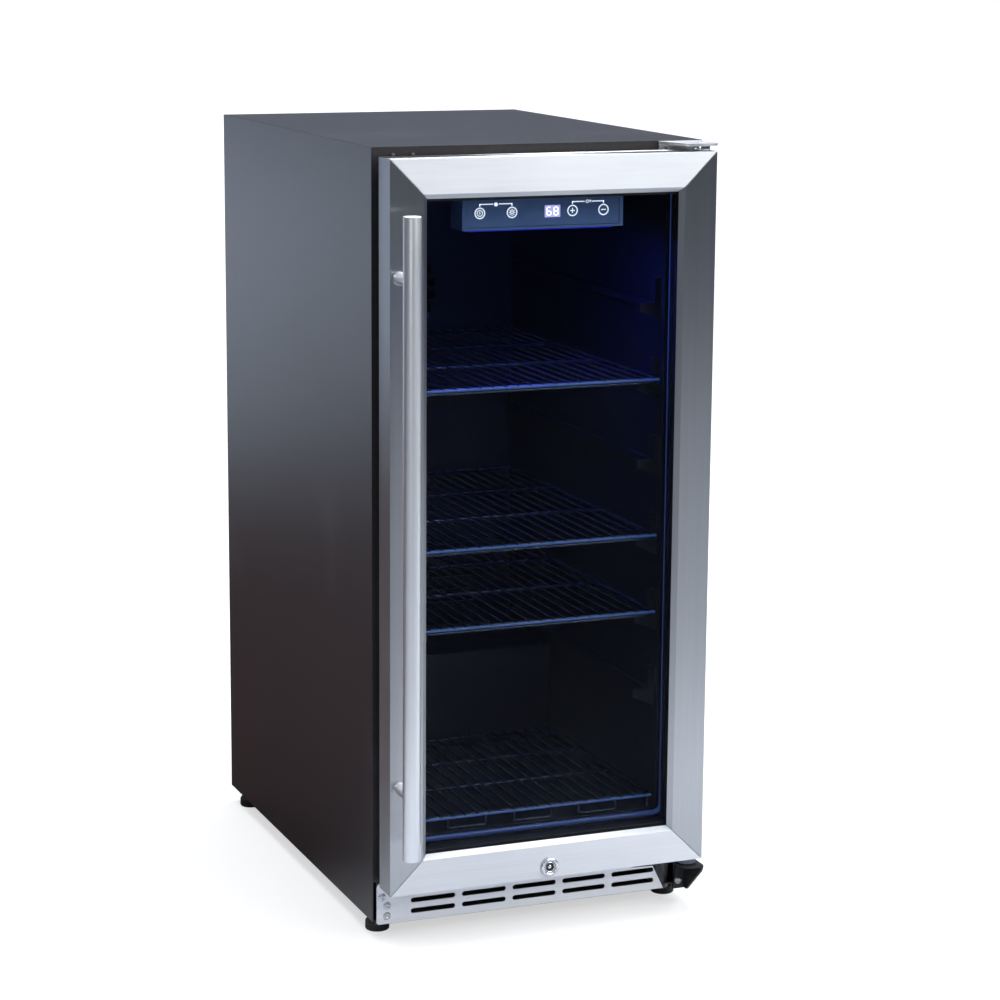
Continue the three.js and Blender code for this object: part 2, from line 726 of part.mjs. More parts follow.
function compressor() {
  const can = alongZ(turned([
    [0, 30], [46, 30], [56, 40], [58, 84], [59.5, 86], [59.5, 90], [58, 92], [55, 130], [42, 148], [0, 154],
  ]), ...COMPRESSOR);
  const [x, y] = COMPRESSOR;
  const plate = block([x - 70, x + 70], [y - 45, y + 45], [31, 34]);
  const grommets = [-60, 60].flatMap((dx) => [-36, 36].map((dy) => (
    holeZ(5.5, x + dx, y + dy, [CAB_BOTTOM + 1.8 + GAP, 38])
  )));
  const terminal = block([x - 14, x + 14], [y + 50, y + 72], [60, 100]);
  return join([can, plate, terminal, ...grommets]);
}

const condenser = () => finBlock([-170, -50], [348, 374], [36, 164], 11, 5);

function condenserFanFrame() {
  const [x, z] = CONDENSER_FAN;
  const sheet = block([-172, -48], [377, 378.5], [22, 166]).subtract(holeY(50, x, z, [370, 390]));
  const motor = holeY(17, x, z, [396, 424]);
  const arms = [-1, 1].map((side) => block([x + side * 55 - 4, x + side * 55 + 4], [378, 412], [z - 4, z + 4]));
  const crossbar = block([x - 59, x + 59], [408, 412], [z - 4, z + 4]);
  return join([sheet, ...arms, crossbar, motor]);
}

function dripTray() {
  const [x, y] = COMPRESSOR;
  const outside = block([x - 62, x + 62], [y - 50, y + 50], [160, 182]);
  return outside.subtract(block([x - 60.4, x + 60.4], [y - 48.4, y + 48.4], [161.6, 190]));
}

const drainTube = () => alongZ(ring(3, 4.5, [170, STEP_TOP - 0.5], 16), ...DRAIN);

// Hot gas line from the compressor's side to the condenser.
function refrigerantPipe() {
  const path = new THREE.CatmullRomCurve3([
    new THREE.Vector3(37.5, 440, 110),
    new THREE.Vector3(22, 440, 110),
    new THREE.Vector3(4, 432, 108),
    new THREE.Vector3(-5, 415, 100),
    new THREE.Vector3(-6, 385, 74),
    new THREE.Vector3(-12, 366, 62),
    new THREE.Vector3(-26, 361, 60),
    new THREE.Vector3(-48.5, 361, 60),
  ]);
  const section = new THREE.Shape();
  section.absarc(0, 0, 3, 0, 2 * Math.PI, false);
  const options = { steps: 18, bevelEnabled: false, extrudePath: path, curveSegments: 4 };
  return solid(new THREE.ExtrudeGeometry(section, options));
}

// ---------- put together ----------
piece('cabinet_shell', cabinetShell(), CHARCOAL);
piece('back_panel', backPanel(), GALVANISED);
piece('rear_cover', rearCover(), BLACK_STEEL);
piece('cord_gland', cordGland(), RUBBER);
piece('foam_insulation', foamInsulation(), FOAM);
piece('liner', liner(), DARK_LINER);
piece('base_pan', basePan(), CHARCOAL);
piece('kick_plate', kickPlate(), STAINLESS);
KICK_SCREWS.forEach(([x, z], n) => piece(`kick_plate_screw_${n + 1}`, screw(x, z, -2 - GAP), BRIGHT));
piece('lock_strike', lockStrike(), BRIGHT);

const FOOT_NAMES = [['foot_front_left', 'foot_front_right'], ['foot_rear_left', 'foot_rear_right']];
FOOT_Y.forEach((y, row) => {
  piece(FOOT_NAMES[row][0], foot(-FOOT_X, y), RUBBER);
  piece(FOOT_NAMES[row][1], foot(FOOT_X, y), RUBBER);
});

piece('top_hinge_plate', topHingePlate(), BRIGHT);
piece('top_hinge_pin', hingePin([838, 858.8], [850.4, 855.4], 9.5), BRIGHT);
piece('top_hinge_screw', screw(...TOP_SCREW, -2.8 - GAP), BRIGHT);
piece('bottom_hinge_bracket', bottomHingeBracket(), BLACK_STEEL);
piece('bottom_hinge_pin', hingePin([47, 74], [54.3, 61.6], 10), BLACK_PLASTIC);
piece('bottom_hinge_screw', screw(...BRACKET_SCREW, -3 - GAP), BRIGHT);

const rails = railRing();
piece('door_rail_top', rails.intersect(mitre(true, 1)), STAINLESS);
piece('door_rail_bottom', rails.intersect(mitre(true, -1)), STAINLESS);
piece('door_rail_left', rails.intersect(mitre(false, -1)), STAINLESS);
piece('door_rail_right', rails.intersect(mitre(false, 1)), STAINLESS);
piece('door_inner_frame', doorInnerFrame(), BLACK_PLASTIC);
piece('door_gasket', doorGasket(), RUBBER);
piece('glass_outer', pane(GLASS_Y), GLASS);
piece('glass_spacer', glassSpacer(), BLACK_PLASTIC);
piece('glass_inner', pane(INNER_Y), GLASS);
piece('handle_bar', handleBar(), STAINLESS);
piece('handle_post_upper', handlePost(BAR_TOP - POST_INSET), BRIGHT);
piece('handle_post_lower', handlePost(BAR_BOTTOM + POST_INSET), BRIGHT);
piece('lock_bezel', lockBezel(), BRIGHT);
piece('lock_cylinder', lockCylinder(), BRIGHT);
piece('lock_cam', lockCam(), BRIGHT);

piece('control_housing', controlHousing(), BLACK_PLASTIC);
piece('control_overlay', controlOverlay(), BLACK_PLASTIC);
piece('control_board', controlBoard(), BOARD);
piece('led_lens', ledLens(), LIGHT);
Object.entries(BUTTON_X).forEach(([name, x]) => piece(`button_${name}`, button(x), BLACK_PLASTIC));

piece('shelf_lower', shelf(1), WIRE);
piece('shelf_middle', shelf(2), WIRE);
piece('shelf_upper', shelf(4), WIRE);
piece('bottom_rack', bottomRack(), WIRE);

piece('evaporator_cover', evaporatorCover(), DARK_LINER);
piece('evaporator', evaporator(), GALVANISED);
piece('evaporator_fan', fan(0, FAN_Z, [447, 457], 44, 5), BLACK_PLASTIC);
piece('evaporator_fan_motor', evaporatorFanMotor(), BLACK_STEEL);
piece('compressor', compressor(), BLACK_STEEL);
piece('condenser', condenser(), GALVANISED);
piece('condenser_fan', fan(...CONDENSER_FAN, [381, 393], 46, 5), BLACK_PLASTIC);
piece('condenser_fan_frame', condenserFanFrame(), BLACK_STEEL);
piece('drip_tray', dripTray(), BLACK_PLASTIC);
piece('drain_tube', drainTube(), BLACK_PLASTIC);
piece('refrigerant_pipe', refrigerantPipe(), COPPER);

// The origin is the middle of the whole object's footprint, on the floor.
const GLAND_END = 537.5;
model.position.y = -(BAR_Y - BAR_R + GLAND_END) / 2;

export default fridge;
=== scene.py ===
"""Looks of an undercounter drinks fridge with a glass door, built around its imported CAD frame.

Lengths are metres. The door faces -Y, the hinges are on the +X side and the floor is at Z = 0.
"""

from __future__ import annotations

import logging
import math
from dataclasses import dataclass, field
from enum import Enum
from typing import Sequence

import bmesh
import bpy
import numpy as np
from mathutils import Matrix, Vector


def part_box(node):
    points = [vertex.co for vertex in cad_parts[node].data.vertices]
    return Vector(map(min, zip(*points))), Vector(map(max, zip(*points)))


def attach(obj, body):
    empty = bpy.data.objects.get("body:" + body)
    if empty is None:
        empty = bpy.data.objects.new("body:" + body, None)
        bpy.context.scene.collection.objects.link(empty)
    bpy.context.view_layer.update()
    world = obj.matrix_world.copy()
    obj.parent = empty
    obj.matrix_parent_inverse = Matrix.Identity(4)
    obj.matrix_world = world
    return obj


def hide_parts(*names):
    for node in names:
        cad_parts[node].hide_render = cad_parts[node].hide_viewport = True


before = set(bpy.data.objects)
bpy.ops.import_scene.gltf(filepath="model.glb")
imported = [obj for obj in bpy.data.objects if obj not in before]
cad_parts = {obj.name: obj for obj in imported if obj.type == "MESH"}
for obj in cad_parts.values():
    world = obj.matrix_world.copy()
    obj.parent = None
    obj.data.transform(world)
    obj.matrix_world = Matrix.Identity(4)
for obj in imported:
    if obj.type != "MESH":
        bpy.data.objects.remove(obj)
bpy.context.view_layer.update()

LOG = logging.getLogger("fridge")
MM = 0.001
CAD_GAP = 0.3 * MM
TAU = 2 * math.pi
Colour = tuple[float, float, float]
Array = np.ndarray


class Axis(Enum):
    """The three directions of the frame, as columns."""

    X = 0
    Y = 1
    Z = 2


# ---------- shader maths ----------


@dataclass(frozen=True)
class Value:
    """A number socket that can be used in Python sums; each operator adds a Math node."""

    graph: "Graph"
    socket: bpy.types.NodeSocket

    def math(self, operation: str, *others: "Value | float") -> "Value":
        """Apply a Math node with this value first.

        Args:
            operation: the node's operation.
            others: its other inputs.

        Returns:
            The node's result.
        """
        node = self.graph.node("ShaderNodeMath", {"operation": operation}, {0: self})
        for place, other in enumerate(others, start=1):
            self.graph.put(node.inputs[place], other)
        return Value(self.graph, node.outputs[0])

    def __add__(self, other: "Value | float") -> "Value":
        """Sum."""
        return self.math("ADD", other)

    __radd__ = __add__

    def __mul__(self, other: "Value | float") -> "Value":
        """Product."""
        return self.math("MULTIPLY", other)

    __rmul__ = __mul__

    def __sub__(self, other: "Value | float") -> "Value":
        """Difference."""
        return self.math("SUBTRACT", other)

    def __rsub__(self, other: float) -> "Value":
        """Reflected difference, so that 1 - mask works."""
        return self * -1.0 + other

    def __pow__(self, power: float) -> "Value":
        """Power."""
        return self.math("POWER", power)

    def between(self, low: float, high: float) -> "Value":
        """Ramp smoothly from 0 at low to 1 at high."""
        settings = {"interpolation_type": "SMOOTHSTEP"}
        node = self.graph.node("ShaderNodeMapRange", settings, {0: self, 1: low, 2: high})
        return Value(self.graph, node.outputs[0])


class Graph:
    """The node tree of a material or world, with one method that makes any node."""

    def __init__(self, name: str, owner: bpy.types.ID | None = None) -> None:
        """Start with an empty tree in owner, or in a new material called name."""
        self.owner = owner or bpy.data.materials.new(name)
        self.owner.use_nodes = True
        self.tree = self.owner.node_tree
        self.tree.nodes.clear()

    def put(self, socket: bpy.types.NodeSocket, value: object) -> None:
        """Link or set one socket.

        Args:
            socket: the input.
            value: a Value, an output socket, a number or a tuple.
        """
        if isinstance(value, Value):
            value = value.socket
        if isinstance(value, bpy.types.NodeSocket):
            self.tree.links.new(value, socket)
        else:
            socket.default_value = value

    def node(self, kind: str, settings: dict | None = None, inputs: dict | None = None) -> bpy.types.Node:
        """Add a node.

        Args:
            kind: the node's type.
            settings: its properties, set first.
            inputs: values or links by socket name or number.

        Returns:
            The node.
        """
        made = self.tree.nodes.new(kind)
        for key, value in (settings or {}).items():
            setattr(made, key, value)
        for key, value in (inputs or {}).items():
            self.put(made.inputs[key], value)
        return made

    def place(self, stretch: Sequence[float] = (1, 1, 1)) -> bpy.types.NodeSocket:
        """Object coordinates, stretched along each axis."""
        coords = self.node("ShaderNodeTexCoord").outputs["Object"]
        return self.node("ShaderNodeMapping", None, {"Vector": coords, "Scale": tuple(stretch)}).outputs[0]

    def noise(self, scale: float, stretch: Sequence[float] = (1, 1, 1), detail: float = 3.0) -> Value:
        """Noise from 0 to 1.

        Args:
            scale: features per metre.
            stretch: factors along X, Y and Z; a small one draws streaks along its axis.
            detail: octaves.

        Returns:
            The noise value.
        """
        inputs = {"Vector": self.place(stretch), "Scale": scale, "Detail": detail, "Roughness": 0.6}
        return Value(self, self.node("ShaderNodeTexNoise", None, inputs).outputs["Fac"])

    def cells(self, scale: float, output: str = "Distance") -> Value:
        """Voronoi cells, as distances or as one random shade per cell."""
        inputs = {"Vector": self.place(), "Scale": scale}
        return Value(self, self.node("ShaderNodeTexVoronoi", None, inputs).outputs[output])

    def mix(self, share: Value | float, low: object, high: object) -> bpy.types.NodeSocket:
        """Blend two colours.

        Args:
            share: 0 gives low, 1 gives high.
            low: first colour, as three numbers or a socket.
            high: second colour, likewise.

        Returns:
            The colour socket.
        """
        made = self.node("ShaderNodeMix", {"data_type": "RGBA"}, {0: share})
        for place, colour in ((6, low), (7, high)):
            self.put(made.inputs[place], (*colour, 1.0) if isinstance(colour, tuple) else colour)
        return made.outputs[2]

    def bump(self, height: Value, depth: float, strength: float = 1.0) -> bpy.types.NodeSocket:
        """A normal from a height, where depth is the full height in metres."""
        inputs = {"Height": height, "Distance": depth, "Strength": strength}
        return self.node("ShaderNodeBump", None, inputs).outputs[0]

    def principled(self, inputs: dict) -> bpy.types.NodeSocket:
        """A Principled shader's output."""
        return self.node("ShaderNodeBsdfPrincipled", None, inputs).outputs[0]

    def finish(self, shader: bpy.types.NodeSocket, kind: str = "ShaderNodeOutputMaterial") -> bpy.types.ID:
        """Send a shader to the output and return the tree's owner."""
        self.node(kind, None, {"Surface": shader})
        return self.owner


def tinted(colour: Colour, factor: float) -> Colour:
    """A colour made lighter or darker by a factor."""
    return tuple(min(1.0, part * factor) for part in colour)


# ---------- finishes ----------


@dataclass(frozen=True)
class BrushedSteel:
    """Stainless sheet with a grain along one axis."""

    name: str
    grain: Axis
    colour: Colour = (0.60, 0.615, 0.635)
    roughness: float = 0.34
    anisotropy: float = 0.94
    turn: float = 0.0

    def material(self) -> bpy.types.Material:
        """Fine streaks along the grain change colour, roughness and height; clouds add handling marks."""
        graph = Graph(self.name)
        across = [1.0, 1.0, 1.0]
        across[self.grain.value] = 0.012
        streaks = graph.noise(1500, across, 2)
        bands = graph.noise(160, across, 2)
        clouds = graph.noise(9, detail=2)
        shade = streaks * 0.55 + bands * 0.45
        base = graph.mix(shade, tinted(self.colour, 0.86), tinted(self.colour, 1.12))
        rough = self.roughness + (streaks - 0.5) * 0.10 + (clouds - 0.5) * 0.08
        return graph.finish(graph.principled({
            "Base Color": base,
            "Metallic": 1.0,
            "Roughness": rough,
            "Anisotropic": self.anisotropy,
            "Anisotropic Rotation": self.turn,
            "Normal": graph.bump(shade, 0.000012, 0.5),
        }))


@dataclass(frozen=True)
class Paint:
    """Sprayed steel with orange peel, faint dust and scuffs."""

    name: str
    colour: Colour
    roughness: float = 0.38
    peel: float = 0.00001
    peel_scale: float = 900
    metallic: float = 0.0
    dust: float = 0.05

    def material(self) -> bpy.types.Material:
        """Mottled colour, dust clouds that dull the gloss, and orange peel as height."""
        graph = Graph(self.name)
        clouds = graph.noise(7, detail=4)
        mottle = graph.noise(220, detail=2)
        dust = clouds.between(0.52, 0.8) * self.dust
        base = graph.mix(dust + mottle * 0.06, self.colour, (0.32, 0.31, 0.30))
        peel = graph.noise(self.peel_scale, detail=1)
        scuffs = graph.noise(60, (1, 1, 9), 3).between(0.62, 0.78)
        return graph.finish(graph.principled({
            "Base Color": base,
            "Metallic": self.metallic,
            "Roughness": self.roughness + dust * 0.9 + scuffs * 0.05 + (mottle - 0.5) * 0.06,
            "Normal": graph.bump(peel, self.peel),
            "Specular IOR Level": 0.38,
        }))


@dataclass(frozen=True)
class Plated:
    """Polished or dull plating with hairline scratches."""

    name: str
    colour: Colour = (0.78, 0.79, 0.81)
    roughness: float = 0.14
    spangle: float = 0.0

    def material(self) -> bpy.types.Material:
        """Two crossed sets of hairlines over soft clouds; spangle adds zinc crystals."""
        graph = Graph(self.name)
        hair = graph.noise(700, (0.05, 1, 1), 2).between(0.62, 0.72)
        cross = graph.noise(600, (1, 1, 0.06), 2).between(0.64, 0.74)
        clouds = graph.noise(30, detail=3)
        crystals = graph.cells(70, "Color") * self.spangle
        shade = clouds * 0.5 + crystals
        base = graph.mix(shade, tinted(self.colour, 0.85), tinted(self.colour, 1.1))
        scratch = hair + cross
        return graph.finish(graph.principled({
            "Base Color": base,
            "Metallic": 1.0,
            "Roughness": self.roughness + scratch * 0.08 + (clouds - 0.5) * 0.08 + crystals * 0.12,
            "Normal": graph.bump(scratch, 0.000006),
        }))


@dataclass(frozen=True)
class Plastic:
    """Moulded or vacuum-formed plastic."""

    name: str
    colour: Colour
    roughness: float = 0.45
    grain: float = 0.00003
    grain_scale: float = 1400
    glow: Colour | None = None
    glow_strength: float = 0.0
    coat: float = 0.0

    def material(self) -> bpy.types.Material:
        """Leathery grain as height, with gloss that wanders a little; glow makes a lit window."""
        graph = Graph(self.name)
        cells = graph.cells(self.grain_scale)
        clouds = graph.noise(18, detail=3)
        rubs = graph.noise(90, (1, 1, 4), 3).between(0.6, 0.8)
        shade = clouds * 0.7 + rubs * 0.3
        inputs = {
            "Base Color": graph.mix(shade, tinted(self.colour, 0.85), tinted(self.colour, 1.18)),
            "Roughness": self.roughness + (clouds - 0.5) * 0.10 - rubs * 0.04,
            "Normal": graph.bump(cells, self.grain),
            "Coat Weight": self.coat,
        }
        if self.glow:
            inputs["Emission Color"] = graph.mix(clouds, tinted(self.glow, 0.9), self.glow)
            inputs["Emission Strength"] = self.glow_strength
        return graph.finish(graph.principled(inputs))


@dataclass(frozen=True)
class Pane:
    """Clear glass that lets light straight through and mirrors it at its surface."""

    name: str
    tint: Colour = (0.90, 0.925, 0.93)
    mirror: float = 1.0

    def material(self) -> bpy.types.Material:
        """Fresnel shares the surface between a clear shader and a mirror with faint smears."""
        graph = Graph(self.name)
        smears = graph.noise(14, (1, 1, 0.4), 4).between(0.5, 0.8)
        clear = graph.node("ShaderNodeBsdfTransparent", None, {"Color": (*self.tint, 1.0)})
        shine = graph.principled({
            "Base Color": graph.mix(smears, (0.85, 0.88, 0.9), (0.7, 0.74, 0.78)),
            "Metallic": 1.0,
            "Roughness": smears * 0.05 + 0.02,
        })
        edge = Value(graph, graph.node("ShaderNodeFresnel", None, {"IOR": 1.45}).outputs[0])
        share = edge * self.mirror + smears * 0.0015
        mixed = graph.node("ShaderNodeMixShader", None, {0: share, 1: clear.outputs[0], 2: shine})
        return graph.finish(mixed.outputs[0])


@dataclass(frozen=True)
class Paper:
    """Studio paper: white to the eye, and a shaded surround in the object's gloss."""

    name: str
    white: Colour = (0.88, 0.88, 0.885)
    # hall, front, sides, near, far and wall colour the floor and backdrop seen only in reflections and
    # bounce: painted light and shade; near is a painted shadow under the fridge and sides a painted pool of
    # light beside it
    hall: Colour = (0.34, 0.355, 0.385)
    front: Colour = (0.62, 0.645, 0.68)
    sides: Colour = (0.95, 0.95, 0.97)
    near: Colour = (0.060, 0.036, 0.034)
    far: Colour = (0.72, 0.83, 0.98)
    wall: Colour = (0.08, 0.10, 0.14)
    lift: float = 0.55

    def material(self) -> bpy.types.Material:
        """Seen directly the paper is white; in reflections it is a floor of painted light and shade: a
        painted shadow under the fridge, painted pools of light in front and on its +X side, and paler towards
        the backdrop.
        """
        graph = Graph(self.name)
        mottle = graph.noise(40, detail=4)
        split = graph.node("ShaderNodeSeparateXYZ", None, {0: graph.place()})
        across, depth, height = (Value(graph, split.outputs[name]) for name in "XYZ")
        aside = (across - 0.7).math("ABSOLUTE").between(0.8, 2.2)
        ground = graph.mix(depth.between(-1.5, -0.7) * (1 - aside), self.hall, self.front)
        # painted shadow on the floor under the fridge
        shadowed = graph.mix(depth.between(-0.26, 0.1), ground, self.near)
        # painted pool of light on the floor on the fridge's +X side
        painted_light_pool = across.between(1.0, 1.7) * depth.between(-0.6, -0.2) * (1 - depth.between(0.3, 0.9))
        beside = graph.mix(painted_light_pool, shadowed, self.sides)
        behind = graph.mix(depth.between(1.7, 4.2), beside, self.far)
        surround = graph.mix(height.between(0.35, 1.0), behind, self.wall)
        dim = graph.node("ShaderNodeBsdfDiffuse", None, {"Color": surround})
        pale = graph.mix(mottle, tinted(self.white, 0.985), tinted(self.white, 1.01))
        paper = graph.node("ShaderNodeBsdfDiffuse", None, {"Color": pale})
        lit = graph.node("ShaderNodeEmission", None, {"Color": (1.0, 1.0, 1.0, 1.0), "Strength": 1.05})
        shares = {0: self.lift, 1: paper.outputs[0], 2: lit.outputs[0]}
        bright = graph.node("ShaderNodeMixShader", None, shares)
        seen = graph.node("ShaderNodeLightPath").outputs["Is Camera Ray"]
        both = graph.node("ShaderNodeMixShader", None, {0: seen, 1: dim.outputs[0], 2: bright.outputs[0]})
        return graph.finish(both.outputs[0])


PAINT = Paint("charcoal_paint", (0.015, 0.014, 0.017), 0.31)
BLACK_PAINT = Paint("black_paint", (0.0025, 0.0025, 0.004), 0.5, dust=0.015)
# sleeve_paint_painted_light is much lighter than charcoal_paint: painted light for the leg sleeve in the
# door's shadow
SLEEVE_PAINT_PAINTED_LIGHT = Paint("sleeve_paint_painted_light", (0.060, 0.050, 0.045), 0.34, dust=0.1)
STEEL_ACROSS = BrushedSteel("steel_grain_across", Axis.X, (0.62, 0.64, 0.665), turn=0.25)
# kick_plate_steel_painted_light is a lighter copy of steel_grain_across: painted light making up for the
# shade under the door's overhang
KICK_STEEL_PAINTED_LIGHT = BrushedSteel("kick_plate_steel_painted_light", Axis.X, (0.76, 0.77, 0.79), turn=0.25)
# steel_grain_up_painted_shade is a darker copy of steel_grain_across: painted shade on the upright rails of
# the same stainless door
STEEL_UP_PAINTED_SHADE = BrushedSteel("steel_grain_up_painted_shade", Axis.Z, (0.42, 0.432, 0.45))
STEEL_BAR = BrushedSteel("steel_bar", Axis.Z, (0.72, 0.735, 0.76), 0.42, 0.1)
PLATING = Plated("bright_plating")
SCREW_STEEL = Plated("screw_steel", (0.70, 0.71, 0.73), 0.28)
HINGE_STEEL = Plated("hinge_steel", (0.84, 0.85, 0.87), 0.38)
BEZEL_STEEL = Plated("bezel_steel", (0.80, 0.82, 0.85), 0.26)
ZINC = Plated("zinc_sheet", (0.55, 0.57, 0.59), 0.42, 0.5)
FIN_ALUMINIUM = Plated("fin_aluminium", (0.72, 0.73, 0.74), 0.33)
COPPER = Plated("copper_tube", (0.74, 0.36, 0.20), 0.3)
LINER_PLASTIC = Plastic("liner_plastic", (0.010, 0.011, 0.021), 0.34, 0.000008)
# liner_edge_painted_highlight is a bluer, glowing copy of the liner plastic: painted highlight for the blue
# LED light on the liner's front bead
LINER_EDGE_PAINTED_GLOW = Plastic(
    "liner_edge_painted_highlight", (0.030, 0.045, 0.12), 0.24, 0.000006, glow=(0.06, 0.12, 0.42), glow_strength=0.3
)
BLACK_PLASTIC = Plastic("black_plastic", (0.006, 0.006, 0.0085), 0.5)
GREY_NYLON = Plastic("grey_nylon", (0.13, 0.16, 0.21), 0.4)
SEAL = Plastic("seal_vinyl", (0.004, 0.004, 0.006), 0.66, 0.00005)
RUBBER = Plastic("foot_rubber", (0.012, 0.012, 0.012), 0.7, 0.00006, 900)
CONTROL_FACE = Plastic("control_face", (0.15, 0.235, 0.47), 0.25, 0.00001, 1500, coat=0.4)
PRINT = Plastic("white_print", (0.80, 0.82, 0.86), 0.5, 0.00001, glow=(0.9, 0.93, 1.0), glow_strength=1.15)
DISPLAY = Plastic(
    "lit_display", (0.42, 0.42, 0.62), 0.3, 0.000004, glow=(0.50, 0.45, 0.88), glow_strength=1.15
)
DIGITS = Plastic("lit_digits", (0.9, 0.9, 1.0), 0.3, 0.000004, glow=(0.97, 0.97, 1.0), glow_strength=2.0)
LED = Plastic("blue_led_lens", (0.02, 0.03, 0.35), 0.3, 0.00001, glow=(0.012, 0.02, 0.8), glow_strength=0.45)
COATED_WIRE = Plastic("coated_wire", (0.022, 0.030, 0.062), 0.24, 0.000006)
# wire_painted_led_highlight is a bluer, glowing copy of coated_wire: painted highlight for the blue LED light
# on each shelf's front rail
WIRE_PAINTED_HIGHLIGHT = Plastic("wire_painted_led_highlight", (0.03, 0.06, 0.16), 0.2, 0.000006, glow=(0.09, 0.20, 0.62), glow_strength=0.3)
FOAM = Plastic("rigid_foam", (0.72, 0.60, 0.32), 0.9, 0.0004, 500)
CIRCUIT = Plastic("circuit_board", (0.015, 0.13, 0.05), 0.4, 0.00004, 700)
GLASS_FRONT = Pane("front_glass", mirror=0.06)
GLASS_BACK = Pane("low_e_glass", (0.89, 0.90, 0.92), 0.025)

_made: dict[str, bpy.types.Material] = {}


def dress(piece: bpy.types.Object, look: object) -> bpy.types.Object:
    """Give a piece its finish as its only material.

    Args:
        piece: a mesh object.
        look: any finish with a name and a material method.

    Returns:
        The piece.
    """
    if look.name not in _made:
        _made[look.name] = look.material()
    piece.data.materials.clear()
    piece.data.materials.append(_made[look.name])
    return piece


# ---------- surfaces ----------


def columns(*parts: Array | float) -> Array:
    """Stack coordinates of any broadcastable shape into points."""
    return np.stack(np.broadcast_arrays(*parts), axis=-1).astype(float)


class Skin:
    """Collects closed surfaces and turns them into one mesh object."""

    def __init__(self) -> None:
        """Start empty."""
        self.points: list[Array] = []
        self.faces: list[tuple[int, ...]] = []
        self.count = 0

    def rings(self, rings: Array, capped: bool = True, looped: bool = False) -> "Skin":
        """Join a stack of closed rings with quads.

        Ring i, point j meets ring i, point j + 1 and ring i + 1. Rings run anticlockwise seen from
        the last one, so faces point outwards. Caps are fans round each end ring's mean point.

        Args:
            rings: array of ring, point, coordinate.
            capped: close both ends.
            looped: join the last ring to the first, as in a hoop.

        Returns:
            This skin.
        """
        many, around = rings.shape[:2]
        base = self.count + np.arange(many * around).reshape(many, around)
        low = base if looped else base[:-1]
        high = np.roll(base, -1, axis=0) if looped else base[1:]
        quads = np.stack([low, np.roll(low, -1, 1), np.roll(high, -1, 1), high], axis=-1)
        self.faces += [tuple(quad) for quad in quads.reshape(-1, 4).tolist()]
        self.points.append(rings.reshape(-1, 3))
        self.count += many * around
        if capped and not looped:
            self.points.append(np.stack([rings[0].mean(0), rings[-1].mean(0)]))
            first = [(self.count, b, a) for a, b in zip(base[0].tolist(), np.roll(base[0], -1).tolist())]
            last = [(self.count + 1, a, b) for a, b in zip(base[-1].tolist(), np.roll(base[-1], -1).tolist())]
            self.faces += first + last
            self.count += 2
        return self

    def build(
        self, name: str, look: object, body: str, nodes: Sequence[str] = (), sharp: float = 35
    ) -> bpy.types.Object:
        """Make the object, dress it and hang it on a body.

        Args:
            name: the piece's name.
            look: its finish.
            body: the CAD body it rides on.
            nodes: CAD nodes that it stands for.
            sharp: edges over this angle in degrees stay crisp.

        Returns:
            The piece.
        """
        mesh = bpy.data.meshes.new(name)
        mesh.from_pydata(np.concatenate(self.points).tolist(), [], self.faces)
        mesh.validate()
        piece = bpy.data.objects.new(name, mesh)
        bpy.context.scene.collection.objects.link(piece)
        soften(mesh, sharp)
        return settle(piece, look, body, nodes)


def soften(mesh: bpy.types.Mesh, sharp: float) -> None:
    """Merge doubles, turn faces outwards, shade smooth and mark edges over the angle as sharp."""
    work = bmesh.new()
    work.from_mesh(mesh)
    bmesh.ops.remove_doubles(work, verts=work.verts, dist=1e-7)
    bmesh.ops.recalc_face_normals(work, faces=work.faces)
    for face in work.faces:
        face.smooth = True
    limit = math.radians(sharp)
    for edge in work.edges:
        edge.smooth = len(edge.link_faces) != 2 or edge.calc_face_angle(0.0) < limit
    work.to_mesh(mesh)
    work.free()


def settle(piece: bpy.types.Object, look: object, body: str, nodes: Sequence[str]) -> bpy.types.Object:
    """Dress a piece, hang it on its body and hide the CAD nodes it stands for."""
    dress(piece, look)
    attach(piece, body)
    if nodes:
        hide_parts(*nodes)
    LOG.info("%s on %s: %d faces", piece.name, body, len(piece.data.polygons))
    return piece


def spin(profile: Sequence[Sequence[float]], centre: Sequence[float], axis: Axis, sides: int = 48) -> Array:
    """Turn a profile about an axis.

    Point (r, h) at angle t sits at centre + r cos t along the first side axis, r sin t along the second
    and h along the axis.

    Args:
        profile: radius and height pairs; heights rise along the axis.
        centre: a point on the axis; the profile's heights count from it.
        axis: the turning axis.
        sides: points round the ring.

    Returns:
        Rings for Skin.rings.
    """
    radius, height = np.asarray(profile, float).T
    turn = np.arange(sides) * TAU / sides
    first, second = ((axis.value + 1) % 3, (axis.value + 2) % 3)
    rings = np.empty((len(radius), sides, 3))
    rings[..., first] = radius[:, None] * np.cos(turn)
    rings[..., second] = radius[:, None] * np.sin(turn)
    rings[..., axis.value] = height[:, None]
    return rings + np.asarray(centre, float)


def rounded(profile: Sequence[Sequence[float]], radius: float, steps: int = 4) -> list[Array]:
    """Round each inner corner of an open profile with an arc-like curve.

    Each corner becomes a quadratic curve between points radius before and after it, or a third of the
    shorter neighbouring side where that is less.

    Args:
        profile: points in order.
        radius: how far from the corner the curve starts.
        steps: spans in each curve.

    Returns:
        The new points.
    """
    points = np.asarray(profile, float)
    made = [points[0]]
    share = np.linspace(0, 1, steps + 1)[:, None]
    for before, corner, after in zip(points[:-2], points[1:-1], points[2:]):
        back, ahead = before - corner, after - corner
        reach = min(radius, np.linalg.norm(back) * 0.45, np.linalg.norm(ahead) * 0.45)
        start = corner + back / np.linalg.norm(back) * reach
        end = corner + ahead / np.linalg.norm(ahead) * reach
        made += list((1 - share) ** 2 * start + 2 * share * (1 - share) * corner + share**2 * end)
    return made + [points[-1]]


